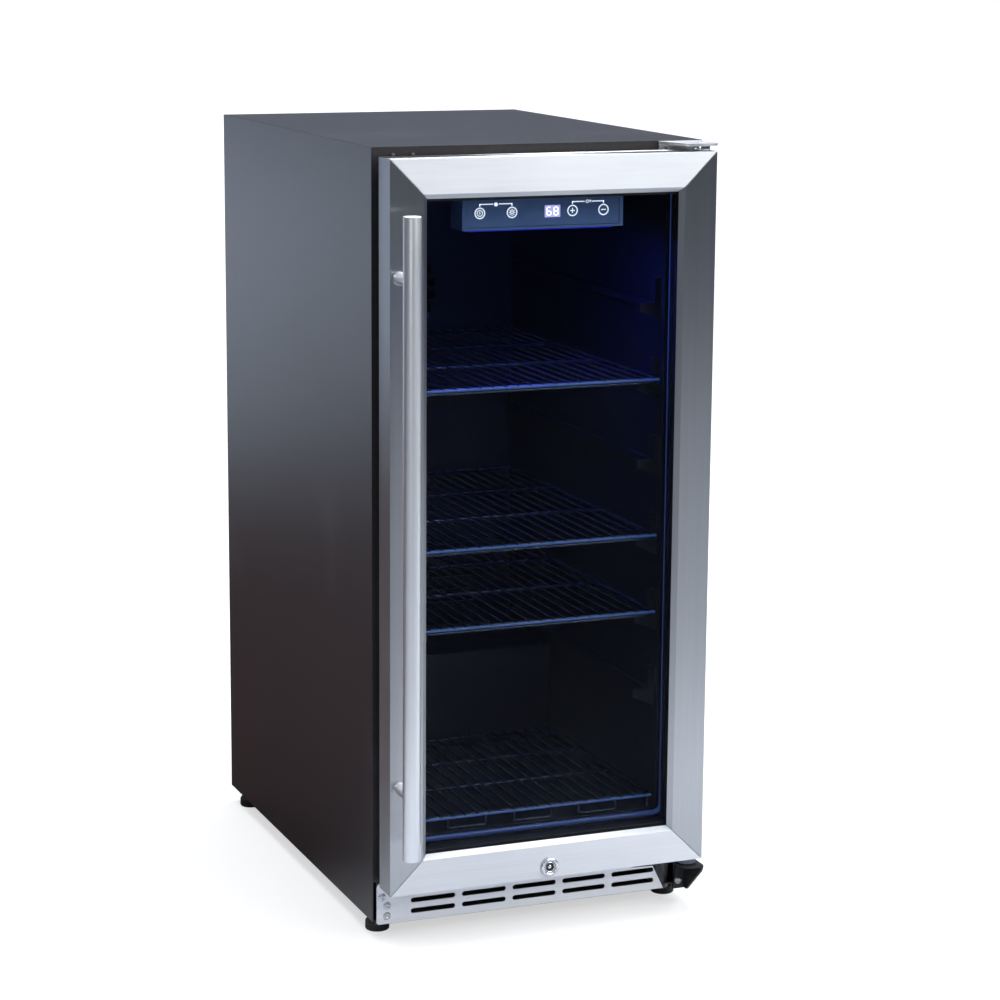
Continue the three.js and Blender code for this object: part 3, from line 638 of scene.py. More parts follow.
def tube(path: Array, radius: float, sides: int = 12, up: Sequence[float] = (0, 0, 1)) -> Array:
    """Carry a circle along a path.

    At each point the circle lies across the path's direction; up must never run along the path.

    Args:
        path: points in order.
        radius: the circle's radius.
        sides: points round it.
        up: a steady direction that keeps the circles from twisting.

    Returns:
        Rings for Skin.rings.
    """
    path = np.asarray(path, float)
    along = np.gradient(path, axis=0)
    along /= np.linalg.norm(along, axis=1, keepdims=True)
    side = np.cross(np.broadcast_to(np.asarray(up, float), along.shape), along)
    side /= np.linalg.norm(side, axis=1, keepdims=True)
    over = np.cross(along, side)
    turn = np.arange(sides) * TAU / sides
    circle = side[:, None] * np.cos(turn)[:, None] + over[:, None] * np.sin(turn)[:, None]
    return path[:, None] + radius * circle


def bends(corners: Sequence[Sequence[float]], radius: float, steps: int = 5) -> Array:
    """A path of straight runs with curved corners."""
    return np.array(rounded(corners, radius, steps))


def plate_ring(half: Array, radius: float, sides: int = 24) -> Array:
    """A rounded rectangle outline: quarter circles of radius round the corners of half widths."""
    turn = (np.arange(sides) + 0.5) * TAU / sides
    core = np.maximum(np.asarray(half, float) - radius, 0)
    wave = np.stack([np.cos(turn), np.sin(turn)], axis=-1)
    return np.sign(wave) * core + wave * radius


def slab(
    low: Sequence[float], high: Sequence[float], edge: float, axis: Axis = Axis.Z, corner: float = 0.0
) -> Array:
    """A box with rounded edges: rounded rectangles along an axis, drawn in by a quarter circle at each end.

    Args:
        low: lowest corner.
        high: highest corner.
        edge: radius of the edges at both ends.
        axis: stacking direction.
        corner: radius of the upright corners, edge if smaller.

    Returns:
        Rings for Skin.rings.
    """
    low, high = np.asarray(low, float), np.asarray(high, float)
    first, second = ((axis.value + 1) % 3, (axis.value + 2) % 3)
    turn = np.linspace(0, math.pi / 2, 5)
    inset = np.concatenate([edge * (1 - np.sin(turn)), edge * (1 - np.cos(turn))])
    lift = np.concatenate([edge * (1 - np.cos(turn)), edge * (1 - np.sin(turn))])
    height = high[axis.value] - low[axis.value]
    rise = np.where(np.arange(10) < 5, lift, height - lift)
    half = (high - low)[[first, second]] / 2
    radius = max(edge, corner)
    middle = (low + high) / 2
    rings = np.empty((10, 24, 3))
    outline = np.stack([plate_ring(half - step, max(radius - step, 1e-5)) for step in inset])
    rings[..., first] = middle[first] + outline[..., 0]
    rings[..., second] = middle[second] + outline[..., 1]
    rings[..., axis.value] = (low[axis.value] + rise)[:, None]
    return rings


def refined(
    node: str, look: object, body: str, width: float = 0.0006, segments: int = 2, name: str | None = None
) -> bpy.types.Object:
    """Stand a rounded copy in for a CAD node: doubles merged, flat faces joined and edges bevelled.

    Args:
        node: the CAD node.
        look: its finish.
        body: the body it rides on.
        width: bevel width.
        segments: bevel segments.
        name: the piece's name; the node's with _body added if none.

    Returns:
        The piece.
    """
    title = name or f"{node}_body"
    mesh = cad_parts[node].data.copy()
    mesh.name = title
    work = bmesh.new()
    work.from_mesh(mesh)
    bmesh.ops.remove_doubles(work, verts=work.verts, dist=2e-6)
    bmesh.ops.dissolve_limit(work, angle_limit=math.radians(1), verts=work.verts, edges=work.edges)
    for face in work.faces:
        face.smooth = True
    for edge in work.edges:
        edge.smooth = edge.calc_face_angle(0.0) < math.radians(35)
    work.to_mesh(mesh)
    work.free()
    piece = bpy.data.objects.new(title, mesh)
    bpy.context.scene.collection.objects.link(piece)
    bevel = piece.modifiers.new("edges", "BEVEL")
    bevel.width = width
    bevel.segments = segments
    bevel.limit_method = "ANGLE"
    bevel.angle_limit = math.radians(40)
    bevel.harden_normals = True
    return settle(piece, look, body, [node])


def move_edge(piece: bpy.types.Object, axis: Axis, old: float, new: float) -> None:
    """Carry a piece's corners that lie at one place along an axis to another place."""
    flat = np.empty(len(piece.data.vertices) * 3)
    piece.data.vertices.foreach_get("co", flat)
    points = flat.reshape(-1, 3)
    there = np.isclose(points[:, axis.value], old, atol=0.02 * MM)
    points[there, axis.value] = new
    piece.data.vertices.foreach_set("co", points.ravel())
    piece.data.update()


def corners_of(node: str) -> tuple[Array, Array]:
    """Lowest and highest corners of a CAD node, as arrays."""
    low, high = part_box(node)
    return np.array(low), np.array(high)


def middle_of(node: str) -> Array:
    """Centre of a CAD node's box."""
    low, high = corners_of(node)
    return (low + high) / 2


# ---------- small parts ----------


@dataclass
class Screw:
    """A pan-head cross screw with its head towards -Y."""

    head_radius: float = 4.4 * MM
    head_height: float = 2.4 * MM
    shank_radius: float = 2.0 * MM
    length: float = 8.0 * MM
    cross_arm: float = 2.7 * MM
    cross_width: float = 0.7 * MM
    cross_depth: float = 2.0 * MM

    def head(self, seat: Array) -> Array:
        """Rings of the head from its rim to its middle.

        The dome's height falls as a flat-topped curve, 1 - (r / R) to the power 3.5, and the cross is cut
        where the lesser of |x| and |z| is under the blade's width and the greater under its reach.

        Args:
            seat: where the head sits.

        Returns:
            The head's rings.
        """
        radius = self.head_radius * np.sin(np.linspace(math.pi / 2, 0.02, 22))
        turn = np.arange(64) * TAU / 64
        x, z = np.outer(radius, np.cos(turn)), np.outer(radius, np.sin(turn))
        dome = self.head_height * (1 - (radius / self.head_radius) ** 3.5)[:, None]
        least, most = np.minimum(abs(x), abs(z)), np.maximum(abs(x), abs(z))
        inside = np.clip((self.cross_width - least) / (0.25 * MM) + 0.5, 0, 1)
        inside = inside * np.clip((self.cross_arm - most) / (0.4 * MM) + 0.5, 0, 1)
        depth = self.cross_depth * np.clip(1.3 - most / self.cross_arm, 0, 1)
        rise = np.maximum(dome - inside * depth, 0.1 * MM)
        rise = np.where(radius[:, None] >= self.head_radius * 0.999, 0, rise)
        return columns(seat[0] + x, seat[1] - rise, seat[2] + z)

    def build(self, node: str, body: str = "cabinet") -> None:
        """Model the screw that a CAD node marks."""
        low, high = corners_of(node)
        seat = np.array([(low[0] + high[0]) / 2, low[1] + self.head_height, (low[2] + high[2]) / 2])
        skin = Skin()
        shank = spin([(self.shank_radius * 0.3, self.length), (self.shank_radius, self.length - 1.2 * MM),
                      (self.shank_radius, 0), (self.head_radius, 0)], seat, Axis.Y, 64)
        rings = np.concatenate([shank[:, :, :], self.turned(self.head(seat), seat)])
        skin.rings(rings).build(f"{node}_steel", SCREW_STEEL, body, [node], 40)

    @staticmethod
    def turned(rings: Array, seat: Array) -> Array:
        """Match the head's ring order to that of a ring spun about Y, whose first side axis is Z."""
        swapped = rings.copy()
        swapped[..., 0] = seat[0] + (rings[..., 2] - seat[2])
        swapped[..., 2] = seat[2] + (rings[..., 0] - seat[0])
        return swapped


# ---------- cabinet ----------


@dataclass
class Cabinet:
    """Painted wrap, base, kick plate, back and feet."""

    fold: float = 0.35 * MM
    foot_names: Sequence[str] = ("foot_front_left", "foot_front_right", "foot_rear_left", "foot_rear_right")
    sleeve_place: tuple[float, float] = (158.5 * MM, -208.5 * MM)
    plug_places: Sequence[tuple[float, float]] = ((-144.2, 849.0), (-166.0, 849.0))

    def build(self) -> None:
        """Make every piece of the cabinet's outside."""
        refined("cabinet_shell", PAINT, "cabinet", self.fold, 3)
        refined("base_pan", PAINT, "cabinet", 0.4 * MM)
        refined("back_panel", ZINC, "cabinet", 0.4 * MM)
        refined("rear_cover", BLACK_PAINT, "cabinet", 0.3 * MM)
        # the kick plate's lighter steel is painted light for the shade under the door
        refined("kick_plate", KICK_STEEL_PAINTED_LIGHT, "cabinet", 0.35 * MM, 2)
        refined("lock_strike", PLATING, "cabinet", 0.15 * MM)
        dress(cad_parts["foam_insulation"], FOAM)
        for number in (1, 2, 3):
            Screw().build(f"kick_plate_screw_{number}")
        for node in self.foot_names:
            self.foot(node)
        self.plugs()
        self.gland()
        self.sleeve()

    def foot(self, node: str) -> None:
        """A ribbed rubber foot on a threaded stud, turned about its stud.

        Args:
            node: the CAD foot it replaces.
        """
        low, high = corners_of(node)
        centre = [(low[0] + high[0]) / 2, (low[1] + high[1]) / 2, 0]
        pad = [(0, 0.0), (10.5, 0.0), (12.6, 0.5), (13.5, 2.0),
               (13.5, 9.6), (12.9, 10.6), (11.0, 12.9), (4.4, 13.0)]
        threads = []
        for turn in range(24):
            height = 14 + turn * 1.25
            threads += [(4.0, height), (3.5, height + 0.62)]
        profile = np.array(rounded(pad, 0.8) + threads + [(3.4, 45.4), (0, 46)]) * MM
        rings = spin(profile, centre, Axis.Z, 64)
        flute = 1 - 0.022 * (0.5 + 0.5 * np.cos(np.arange(64) * TAU / 64 * 16))
        height = rings[:, :1, 2]
        ribbed = (height > 2.2 * MM) & (height < 10 * MM)
        factor = np.where(ribbed, flute, 1.0)
        rings[..., 0] = centre[0] + (rings[..., 0] - centre[0]) * factor
        rings[..., 1] = centre[1] + (rings[..., 1] - centre[1]) * factor
        Skin().rings(rings).build(f"{node}_rubber", RUBBER, node, [node], 50)

    def plugs(self) -> None:
        """Domed plugs in the unused hinge holes of the front flange."""
        skin = Skin()
        front = corners_of("cabinet_shell")[0][1]
        for x, z in self.plug_places:
            dome = [(3.6, 0.4), (3.6, -0.5), (3.0, -1.3), (1.6, -1.8), (0.05, -1.9)]
            rings = spin(np.array(dome) * MM, [x * MM, front, z * MM], Axis.Y, 32)
            skin.rings(rings)
        skin.build("hinge_hole_plugs", BLACK_PLASTIC, "cabinet")

    def sleeve(self) -> None:
        """A round sleeve over the front right leg, a little narrower at its foot. Its paint is lighter and
        browner than the cabinet's: painted light on a part that sits in the door's shadow.
        """
        x, y = self.sleeve_place
        rise = np.array([15.0, 15.6, 30.0, 61.0, 61.6])
        radius = np.array([10.2, 10.8, 12.0, 14.2, 13.8])
        profile = [(0, rise[0])] + list(zip(radius, rise)) + [(0, rise[-1])]
        rings = spin(np.array(profile) * MM, [x, y, 0], Axis.Z, 48)
        Skin().rings(rings).build("front_leg_sleeve", SLEEVE_PAINT_PAINTED_LIGHT, "cabinet")

    def gland(self) -> None:
        """The cord gland: a ribbed collar and bore in the rear cover, turned about Y."""
        low, high = corners_of("cord_gland")
        centre = [(low[0] + high[0]) / 2, low[1], (low[2] + high[2]) / 2]
        inside = [(3.6, 9.4), (3.6, 0.0)]
        outside = [(11.4, 0.0), (12.0, 0.6), (12.0, 2.4), (7.6, 2.6),
                   (7.6, 7.6), (9.4, 7.8), (9.4, 9.0), (8.8, 9.4)]
        profile = np.array(inside + outside) * MM
        rings = spin(profile, centre, Axis.Y, 40)
        Skin().rings(rings, looped=True).build("cord_gland_rubber", SEAL, "cabinet", ["cord_gland"])


# ---------- hinges ----------


@dataclass
class Hinges:
    """Top plate, bottom bracket, their pins and screws."""

    pin_radius: float = 4.0 * MM

    def build(self) -> None:
        """Make both hinges."""
        refined("top_hinge_plate", HINGE_STEEL, "cabinet", 0.7 * MM, 3)
        refined("bottom_hinge_bracket", BLACK_PAINT, "cabinet", 0.7 * MM, 3)
        Screw().build("top_hinge_screw")
        Screw().build("bottom_hinge_screw")
        self.pin("top_hinge_pin", 9.5 * MM, (12.4, 17.4), PLATING)
        self.pin("bottom_hinge_pin", 10 * MM, (7.3, 14.6), GREY_NYLON)

    def pin(self, node: str, collar: float, span: tuple[float, float], look: object) -> None:
        """A pin with a bush, turned about Z, with small rolled edges.

        Args:
            node: the CAD node.
            collar: the bush's radius.
            span: the bush's lower and upper faces over the pin's lower end, in millimetres.
            look: its finish.
        """
        low, high = corners_of(node)
        centre = [(low[0] + high[0]) / 2, (low[1] + high[1]) / 2, low[2]]
        length, pin = high[2] - low[2], self.pin_radius
        below, above = span[0] * MM, span[1] * MM
        edge = [(0, 0), (pin * 0.8, 0), (pin, 1 * MM), (pin, below), (collar, below), (collar, above),
                (pin, above), (pin, length), (0, length)]
        rings = spin(rounded(edge, 0.5 * MM, 3), centre, Axis.Z)
        Skin().rings(rings).build(f"{node}_turned", look, "cabinet", [node])


# ---------- door ----------


@dataclass
class Door:
    """Mitred rails, frame, seal, glass and handle."""

    bar_sides: int = 72
    post_radius: float = 6.2 * MM
    seal_folds: int = 3
    lip: tuple[float, float] = (142.5 * MM, 148.0 * MM)
    seen_spacer: tuple[float, float] = (140 * MM, 147 * MM)

    def build(self) -> None:
        """Make the door."""
        looks = (("top", STEEL_ACROSS), ("bottom", STEEL_ACROSS), ("left", STEEL_UP_PAINTED_SHADE), ("right", STEEL_UP_PAINTED_SHADE))
        for side, look in looks:
            refined(f"door_rail_{side}", look, "door", 0.35 * MM, 3)
        frame_piece = refined("door_inner_frame", BLACK_PLASTIC, "door", 0.4 * MM)
        spacer = refined("glass_spacer", BLACK_PLASTIC, "door", 0.3 * MM)
        for side in (-1, 1):
            move_edge(frame_piece, Axis.X, side * self.lip[0], side * self.lip[1])
            move_edge(spacer, Axis.X, side * self.seen_spacer[0], side * self.seen_spacer[1])
        refined("glass_outer", GLASS_FRONT, "door", 0.4 * MM)
        refined("glass_inner", GLASS_BACK, "door", 0.4 * MM)
        self.seal()
        self.bar()
        self.post("handle_post_upper")
        self.post("handle_post_lower")

    def bar(self) -> None:
        """The handle's bar: a tube with softly turned ends."""
        low, high = corners_of("handle_bar")
        radius = (high[0] - low[0]) / 2
        centre = [(low[0] + high[0]) / 2, (low[1] + high[1]) / 2, low[2]]
        length = high[2] - low[2]
        edge = 0.9 * MM
        profile = [(0, 0), (radius * 0.6, 0), (radius, 0), (radius, length * 0.25), (radius, length * 0.75),
                   (radius, length), (radius * 0.6, length), (0, length)]
        rings = spin(rounded(profile, edge, 4), centre, Axis.Z, self.bar_sides)
        Skin().rings(rings).build("handle_bar_tube", STEEL_BAR, "door", ["handle_bar"], 60)

    def post(self, node: str) -> None:
        """A handle post: a round bar with a foot flange, its far end scooped to fit the bar.

        A ring point's distance from the door is held to the bar's surface: the bar's axis less the square
        root of bar radius squared less the point's sideways offset squared.

        Args:
            node: the CAD post it replaces.
        """
        low, high = corners_of(node)
        bar_low, bar_high = corners_of("handle_bar")
        bar_y, bar_r = (bar_low[1] + bar_high[1]) / 2, (bar_high[0] - bar_low[0]) / 2
        foot = high[1]
        centre = [(low[0] + high[0]) / 2, 0, (low[2] + high[2]) / 2]
        radius, flange = self.post_radius, (high[0] - low[0]) / 2
        saddle = np.linspace(0.02, 1, 8)
        heads = [(radius * share, bar_y + bar_r) for share in saddle]
        body = [(radius, foot - 3.4 * MM), (radius + 0.3 * MM, foot - 2.4 * MM), (flange, foot - 1.1 * MM),
                (flange, foot - 0.2 * MM), (flange - 0.3 * MM, foot), (0.1 * MM, foot)]
        rings = spin(heads + body, centre, Axis.Y, 56)
        sideways = rings[:8, :, 0] - centre[0]
        reach = np.sqrt(np.maximum((bar_r + 0.05 * MM) ** 2 - sideways**2, 0))
        rings[:8, :, 1] = bar_y + reach
        Skin().rings(rings).build(f"{node}_turned", STEEL_BAR, "door", [node], 45)

    def seal(self) -> None:
        """The magnetic seal: one section carried round the door's four sides with mitred corners.

        The section is a foot, a waist with folds and a flat magnet bar; at each corner the section's
        inward offset moves along both X and Z, so that the corners meet at 45 degrees.
        """
        low, high = corners_of("door_gasket")
        depth = high[1] - low[1]
        width = 12 * MM
        step = np.linspace(0, 1, 4 * self.seal_folds + 1)
        waist = 0.20 + 0.09 * np.sin(step * TAU * self.seal_folds)
        left = np.stack([waist * width, (0.26 + 0.42 * step) * depth], axis=-1)
        foot_left = np.array([[0.1, 0.0], [0.0, 0.06], [0.0, 0.22], [0.06, 0.26]]) * [width, depth]
        head_left = np.array([[0.1, 0.70], [0.08, 0.78], [0.08, 0.94], [0.14, 1.0]]) * [width, depth]
        mirror = np.array([width, 0]) + np.array([-1, 1]) * np.concatenate([foot_left, left, head_left])[::-1]
        section = np.concatenate([foot_left, left, head_left, mirror])
        inward, back = section[:, 0], low[1] + section[:, 1]
        signs = np.array([[-1, -1], [1, -1], [1, 1], [-1, 1]], float)
        centre = (low + high) / 2
        half = (high - low) / 2
        rings = columns(
            centre[0] + signs[:, :1] * (half[0] - inward),
            np.broadcast_to(back, (4, len(back))),
            centre[2] + signs[:, 1:] * (half[2] - inward),
        )
        Skin().rings(rings, looped=True).build("door_seal", SEAL, "door", ["door_gasket"], 50)


@dataclass
class Lock:
    """Key lock in the bottom rail."""

    def build(self) -> None:
        """Make the bezel, the turning plug and the cam."""
        low, high = corners_of("lock_bezel")
        centre = [(low[0] + high[0]) / 2, low[1], (low[2] + high[2]) / 2]
        rim = [(6.3, 37.3), (6.3, 2.6), (6.6, 1.4), (7.2, 0.6), (8.0, 0.1), (8.6, 0.0),
               (9.4, 0.25), (10.1, 1.0),
               (10.5, 2.0), (10.5, 3.2), (8.2, 3.3), (8.2, 37.3)]
        rings = spin(np.array(rim) * MM, centre, Axis.Y, 72)
        Skin().rings(rings, looped=True).build("lock_bezel_ring", BEZEL_STEEL, "door", ["lock_bezel"])
        self.plug()
        refined("lock_cam", PLATING, "lock", 0.25 * MM)

    def plug(self) -> None:
        """The plug: a rim, a ring-shaped keyway with a notch and a black ring at its floor that is painted
        shade, and a domed centre pin.
        """
        low, high = corners_of("lock_cylinder")
        centre = [(low[0] + high[0]) / 2, low[1], (low[2] + high[2]) / 2]
        face = [(0.02, 0.3), (1.3, 0.4), (1.9, 0.8), (2.1, 1.3), (2.1, 4.8), (4.7, 4.8),
                (4.7, 0.7), (5.0, 0.2), (5.4, 0.0), (5.8, 0.2), (6.0, 0.7), (6.0, 37.2),
                (3.0, 37.2), (3.0, 40.4), (2.8, 40.6), (0.02, 40.6)]
        sides = 72
        rings = spin(np.array(face) * MM, centre, Axis.Y, sides)
        rings = rings[::-1]
        turn = np.arange(sides) * TAU / sides
        notch = np.abs(np.angle(np.exp(1j * (turn - math.pi / 2)))) < 0.16
        for index in np.nonzero(np.isclose(np.array(face)[::-1, 0], 4.7))[0]:
            offset = rings[index, notch] - centre
            rings[index, notch, 0] = centre[0] + offset[:, 0] * 1.14
            rings[index, notch, 2] = centre[2] + offset[:, 2] * 1.14
        Skin().rings(rings).build("lock_plug", BEZEL_STEEL, "lock", ["lock_cylinder"])
        # a black ring in the bottom of the keyway: painted shade for the deep recess
        floor = [(2.15, 2.4), (4.65, 2.4), (4.65, 4.75), (2.15, 4.75)]
        rings = spin(np.array(floor) * MM, centre, Axis.Y, sides)
        Skin().rings(rings, looped=True).build("lock_keyway_painted_shade", BLACK_PLASTIC, "lock")


# ---------- inside ----------


@dataclass
class Interior:
    """Liner, shelves, rack and evaporator cover."""

    wires: int = 20
    pitch: float = 14.4 * MM
    wire_radius: float = 1.2 * MM
    rail_radius: float = 2.0 * MM
    foot_places: Sequence[float] = (-0.078, 0.0, 0.078)
    mouth: tuple[float, float, float] = (0.1555, 0.1065, 0.8235)

    def build(self) -> None:
        """Make everything seen through the glass except the control box."""
        refined("liner", LINER_PLASTIC, "cabinet", 0.9 * MM, 3)
        refined("evaporator_cover", LINER_PLASTIC, "cabinet", 0.7 * MM, 2)
        for node in ("shelf_lower", "shelf_middle", "shelf_upper"):
            self.grid(node, doubled=True)
        self.grid("bottom_rack", doubled=False)
        self.bead()

    def bead(self) -> None:
        """A rounded bead round the mouth of the cold space, its ends meeting in the middle of the floor."""
        half, floor, ceiling = self.mouth
        radius = 2.8 * MM
        y = corners_of("liner")[0][1]
        path = bends(
            [[0, y, floor], [half, y, floor], [half, y, ceiling], [-half, y, ceiling], [-half, y, floor],
             [-0.5 * MM, y, floor]],
            12 * MM, 8,
        )
        # the bead's blue glow is painted highlight for the LED's light
        Skin().rings(tube(path, radius, 16, (0, 1, 0))).build("liner_mouth_bead", LINER_EDGE_PAINTED_GLOW, "cabinet")

    def grid(self, node: str, doubled: bool) -> None:
        """A welded wire shelf: long wires that end on a front rail, over a frame and cross rails.

        Args:
            node: the CAD node.
            doubled: add a second front rail under the first; if not, the shelf stands on legs.
        """
        low, high = corners_of(node)
        radius = self.rail_radius
        top = high[2] - self.wire_radius
        under = top - self.wire_radius - radius + 0.5 * MM
        left, right = low[0] + radius, high[0] - radius
        back, front = high[1] - 4 * MM, low[1] + radius + 0.2 * MM
        first = (low[0] + high[0]) / 2 - (self.wires - 1) * self.pitch / 2
        run = [[0, high[1] - 2 * MM, top], [0, front + 2 * MM, top], [0, front - 1.2 * MM, top - 1.6 * MM]]
        ends = bends(run, 2 * MM)
        skin = Skin()
        for number in range(self.wires):
            skin.rings(tube(ends + [first + number * self.pitch, 0, 0], self.wire_radius, 10, (1, 0, 0)))
        middle = (front + back) / 2
        frame_path = bends(
            [[left, middle, under], [left, front + 2 * radius, under], [right, front + 2 * radius, under],
             [right, back, under], [left, back, under], [left, middle + 1 * MM, under]],
            9 * MM, 6,
        )
        skin.rings(tube(frame_path, radius, 12))
        for share in (0.36, 0.68):
            y = front + (back - front) * share
            skin.rings(tube(np.array([[left, y, under], [0, y, under], [right, y, under]]), radius, 12))
        if doubled:
            lower = under - 3.4 * MM
            path = np.array([[left, front, lower], [0, front, lower], [right, front, lower]])
            skin.rings(tube(path, radius * 0.6, 12))
        else:
            self.legs(skin, (left, right), (front, back), under, low[2])
        skin.build(f"{node}_wires", COATED_WIRE, "cabinet", [node], 50)
        # the front rail glows blue: painted highlight for the LED's light
        rail = np.array([[left, front, under], [0, front, under], [right, front, under]])
        Skin().rings(tube(rail, radius * 0.75, 16)).build(f"{node}_front_rail", WIRE_PAINTED_HIGHLIGHT, "cabinet")

    def legs(
        self, skin: Skin, sides: tuple[float, float], depth: tuple[float, float], under: float, floor: float
    ) -> None:
        """Add a leg at each corner and flat feet of bent wire under the front rail.

        Args:
            skin: the skin that they join.
            sides: X of the left and right rails.
            depth: Y of the front and back rails.
            under: the rails' height.
            floor: the height they stand on.
        """
        for x in (sides[0] + 3 * MM, sides[1] - 3 * MM):
            for y in (depth[0] + 3 * MM, depth[1] - 3 * MM):
                leg = np.array([[x, y, under], [x, y, floor + 4 * MM], [x, y, floor + 0.2 * MM]])
                skin.rings(tube(leg, self.rail_radius, 12, (1, 0, 0)))
        half, y, base = 22 * MM, depth[0], floor + 2.2 * MM
        for x in self.foot_places:
            foot = bends(
                [[x - half, y, under], [x - half, y, base], [x + half, y, base], [x + half, y, under]],
                3 * MM,
                5
            )
            skin.rings(tube(foot, self.wire_radius * 1.3, 12, (0, 1, 0)))


# ---------- control box ----------


class Icon(Enum):
    """Signs printed on the round buttons."""

    POWER = "button_power"
    LIGHT = "button_light"
    PLUS = "button_up"
    MINUS = "button_down"


@dataclass
class ControlBox:
    """Housing, face, round buttons, printed signs, lit display and LED lens."""

    print_depth: float = 0.09 * MM
    ring_radius: float = 6.1 * MM
    ring_width: float = 1.3 * MM
    line: float = 1.15 * MM
    rim: tuple[float, float] = (4.4 * MM, 2.6 * MM)
    inset: float = 5.3 * MM
    gap: float = 0.45 * MM
    display: tuple[float, float] = (18.0 * MM, 12.8 * MM)
    display_x: float = 15 * MM

    def build(self) -> None:
        """Make the control box and its signs."""
        housing = refined("control_housing", CONTROL_FACE, "cabinet", 0.5 * MM, 3)
        overlay = refined("control_overlay", CONTROL_FACE, "cabinet", 0.2 * MM)
        pocket = corners_of("control_overlay")
        for axis, rim in ((Axis.X, self.rim[0]), (Axis.Z, self.rim[1])):
            for end, inward in zip(pocket, (1, -1)):
                edge = end[axis.value] - inward * self.inset
                move_edge(housing, axis, end[axis.value] - inward * CAD_GAP, edge + inward * rim)
                move_edge(overlay, axis, end[axis.value], edge + inward * (rim + self.gap))
        refined("control_board", CIRCUIT, "cabinet", 0.2 * MM)
        low, high = corners_of("led_lens")
        low, high = low + np.array([0, 1.2, 1.2]) * MM, high - np.array([0, 1.2, 0]) * MM
        Skin().rings(slab(low, high, 0.7 * MM, Axis.X)).build("led_lens_strip", LED, "cabinet", ["led_lens"])
        for icon in Icon:
            self.button(icon)
        self.brackets()
        self.screen()

    def bar(self, skin: Skin, centre: Sequence[float], size: Sequence[float], face: float) -> None:
        """Add one flat printed bar in front of a face."""
        low = [centre[0] - size[0] / 2, face - self.print_depth, centre[1] - size[1] / 2]
        high = [centre[0] + size[0] / 2, face + 0.02 * MM, centre[1] + size[1] / 2]
        skin.rings(slab(low, high, 0.03 * MM, Axis.Y, min(size) * 0.3))

    def hoop(self, skin: Skin, centre: Sequence[float], radius: float, width: float, face: float) -> None:
        """Add one flat printed ring in front of a face, turned about Y."""
        depth = self.print_depth
        inner, buried = radius - width, 0.02 * MM
        profile = [(inner, buried), (inner, -depth), (radius, -depth), (radius, buried)]
        rings = spin(profile, [centre[0], face, centre[1]], Axis.Y, 48)
        skin.rings(rings, looped=True)

    def button(self, icon: Icon) -> None:
        """A button with a dished face, turned about Y, and its printed sign.

        Args:
            icon: which button, and so which sign.
        """
        node = icon.value
        low, high = corners_of(node)
        x, z = (low[0] + high[0]) / 2, (low[2] + high[2]) / 2
        face = [(0.02, 0.12), (4.8, 0.10), (5.6, 0.03), (6.2, 0.0),
                (6.5, 0.35), (6.5, 4.3), (8.0, 4.3), (8.0, 5.7),
                (0.02, 5.8)]
        rings = spin(np.array(face) * MM, [x, low[1], z], Axis.Y, 56)[::-1]
        Skin().rings(rings).build(f"{node}_cap", CONTROL_FACE, node, [node])
        skin = Skin()
        front = low[1] + 0.1 * MM
        self.hoop(skin, (x, z), self.ring_radius, self.ring_width, low[1] + 0.02 * MM)
        if icon is Icon.POWER:
            self.hoop(skin, (x, z), 3.5 * MM, 0.95 * MM, front)
            self.bar(skin, (x, z + 0.2 * MM), (self.line, 3.0 * MM), front)
        elif icon is Icon.LIGHT:
            self.hoop(skin, (x, z), 2.2 * MM, self.line, front)
            for turn in np.arange(8) * TAU / 8:
                spot = (x + 3.15 * MM * math.cos(turn), z + 3.15 * MM * math.sin(turn))
                self.bar(skin, spot, (1.15 * MM, 1.15 * MM), front)
        else:
            self.bar(skin, (x, z), (5.6 * MM, 1.15 * MM), front)
            if icon is Icon.PLUS:
                self.bar(skin, (x, z), (1.15 * MM, 5.6 * MM), front - 0.004 * MM)
        skin.build(f"{node}_sign", PRINT, node)

    def brackets(self) -> None:
        """Lines that join each pair of buttons, with a padlock and a pair of degree signs between."""
        face = corners_of("control_overlay")[0][1]
        skin = Skin()
        for first, second in ((Icon.POWER, Icon.LIGHT), (Icon.PLUS, Icon.MINUS)):
            start, end = middle_of(first.value), middle_of(second.value)
            middle, rise = (start[0] + end[0]) / 2, start[2] + 9.3 * MM
            for x in (start[0], end[0]):
                self.bar(skin, (x, start[2] + 8.1 * MM), (self.line, 2.8 * MM), face)
            gap = 3.6 * MM if first is Icon.POWER else 4.6 * MM
            run = (end[0] - start[0]) / 2 - gap
            for side in (-1, 1):
                self.bar(skin, (middle + side * (gap + run / 2), rise), (run + self.line, 1.15 * MM), face)
            if first is Icon.POWER:
                self.bar(skin, (middle, rise - 0.8 * MM), (4.0 * MM, 3.2 * MM), face)
                self.hoop(skin, (middle, rise + 1.0 * MM), 1.5 * MM, 0.6 * MM, face)
            else:
                self.hoop(skin, (middle - 0.9 * MM, rise), 1.8 * MM, 0.8 * MM, face)
                self.bar(skin, (middle + 2.4 * MM, rise + 0.9 * MM), (2.4 * MM, 1.0 * MM), face)
                self.bar(skin, (middle + 2.4 * MM, rise - 0.3 * MM), (1.0 * MM, 1.9 * MM), face)
        skin.build("control_signs", PRINT, "cabinet")

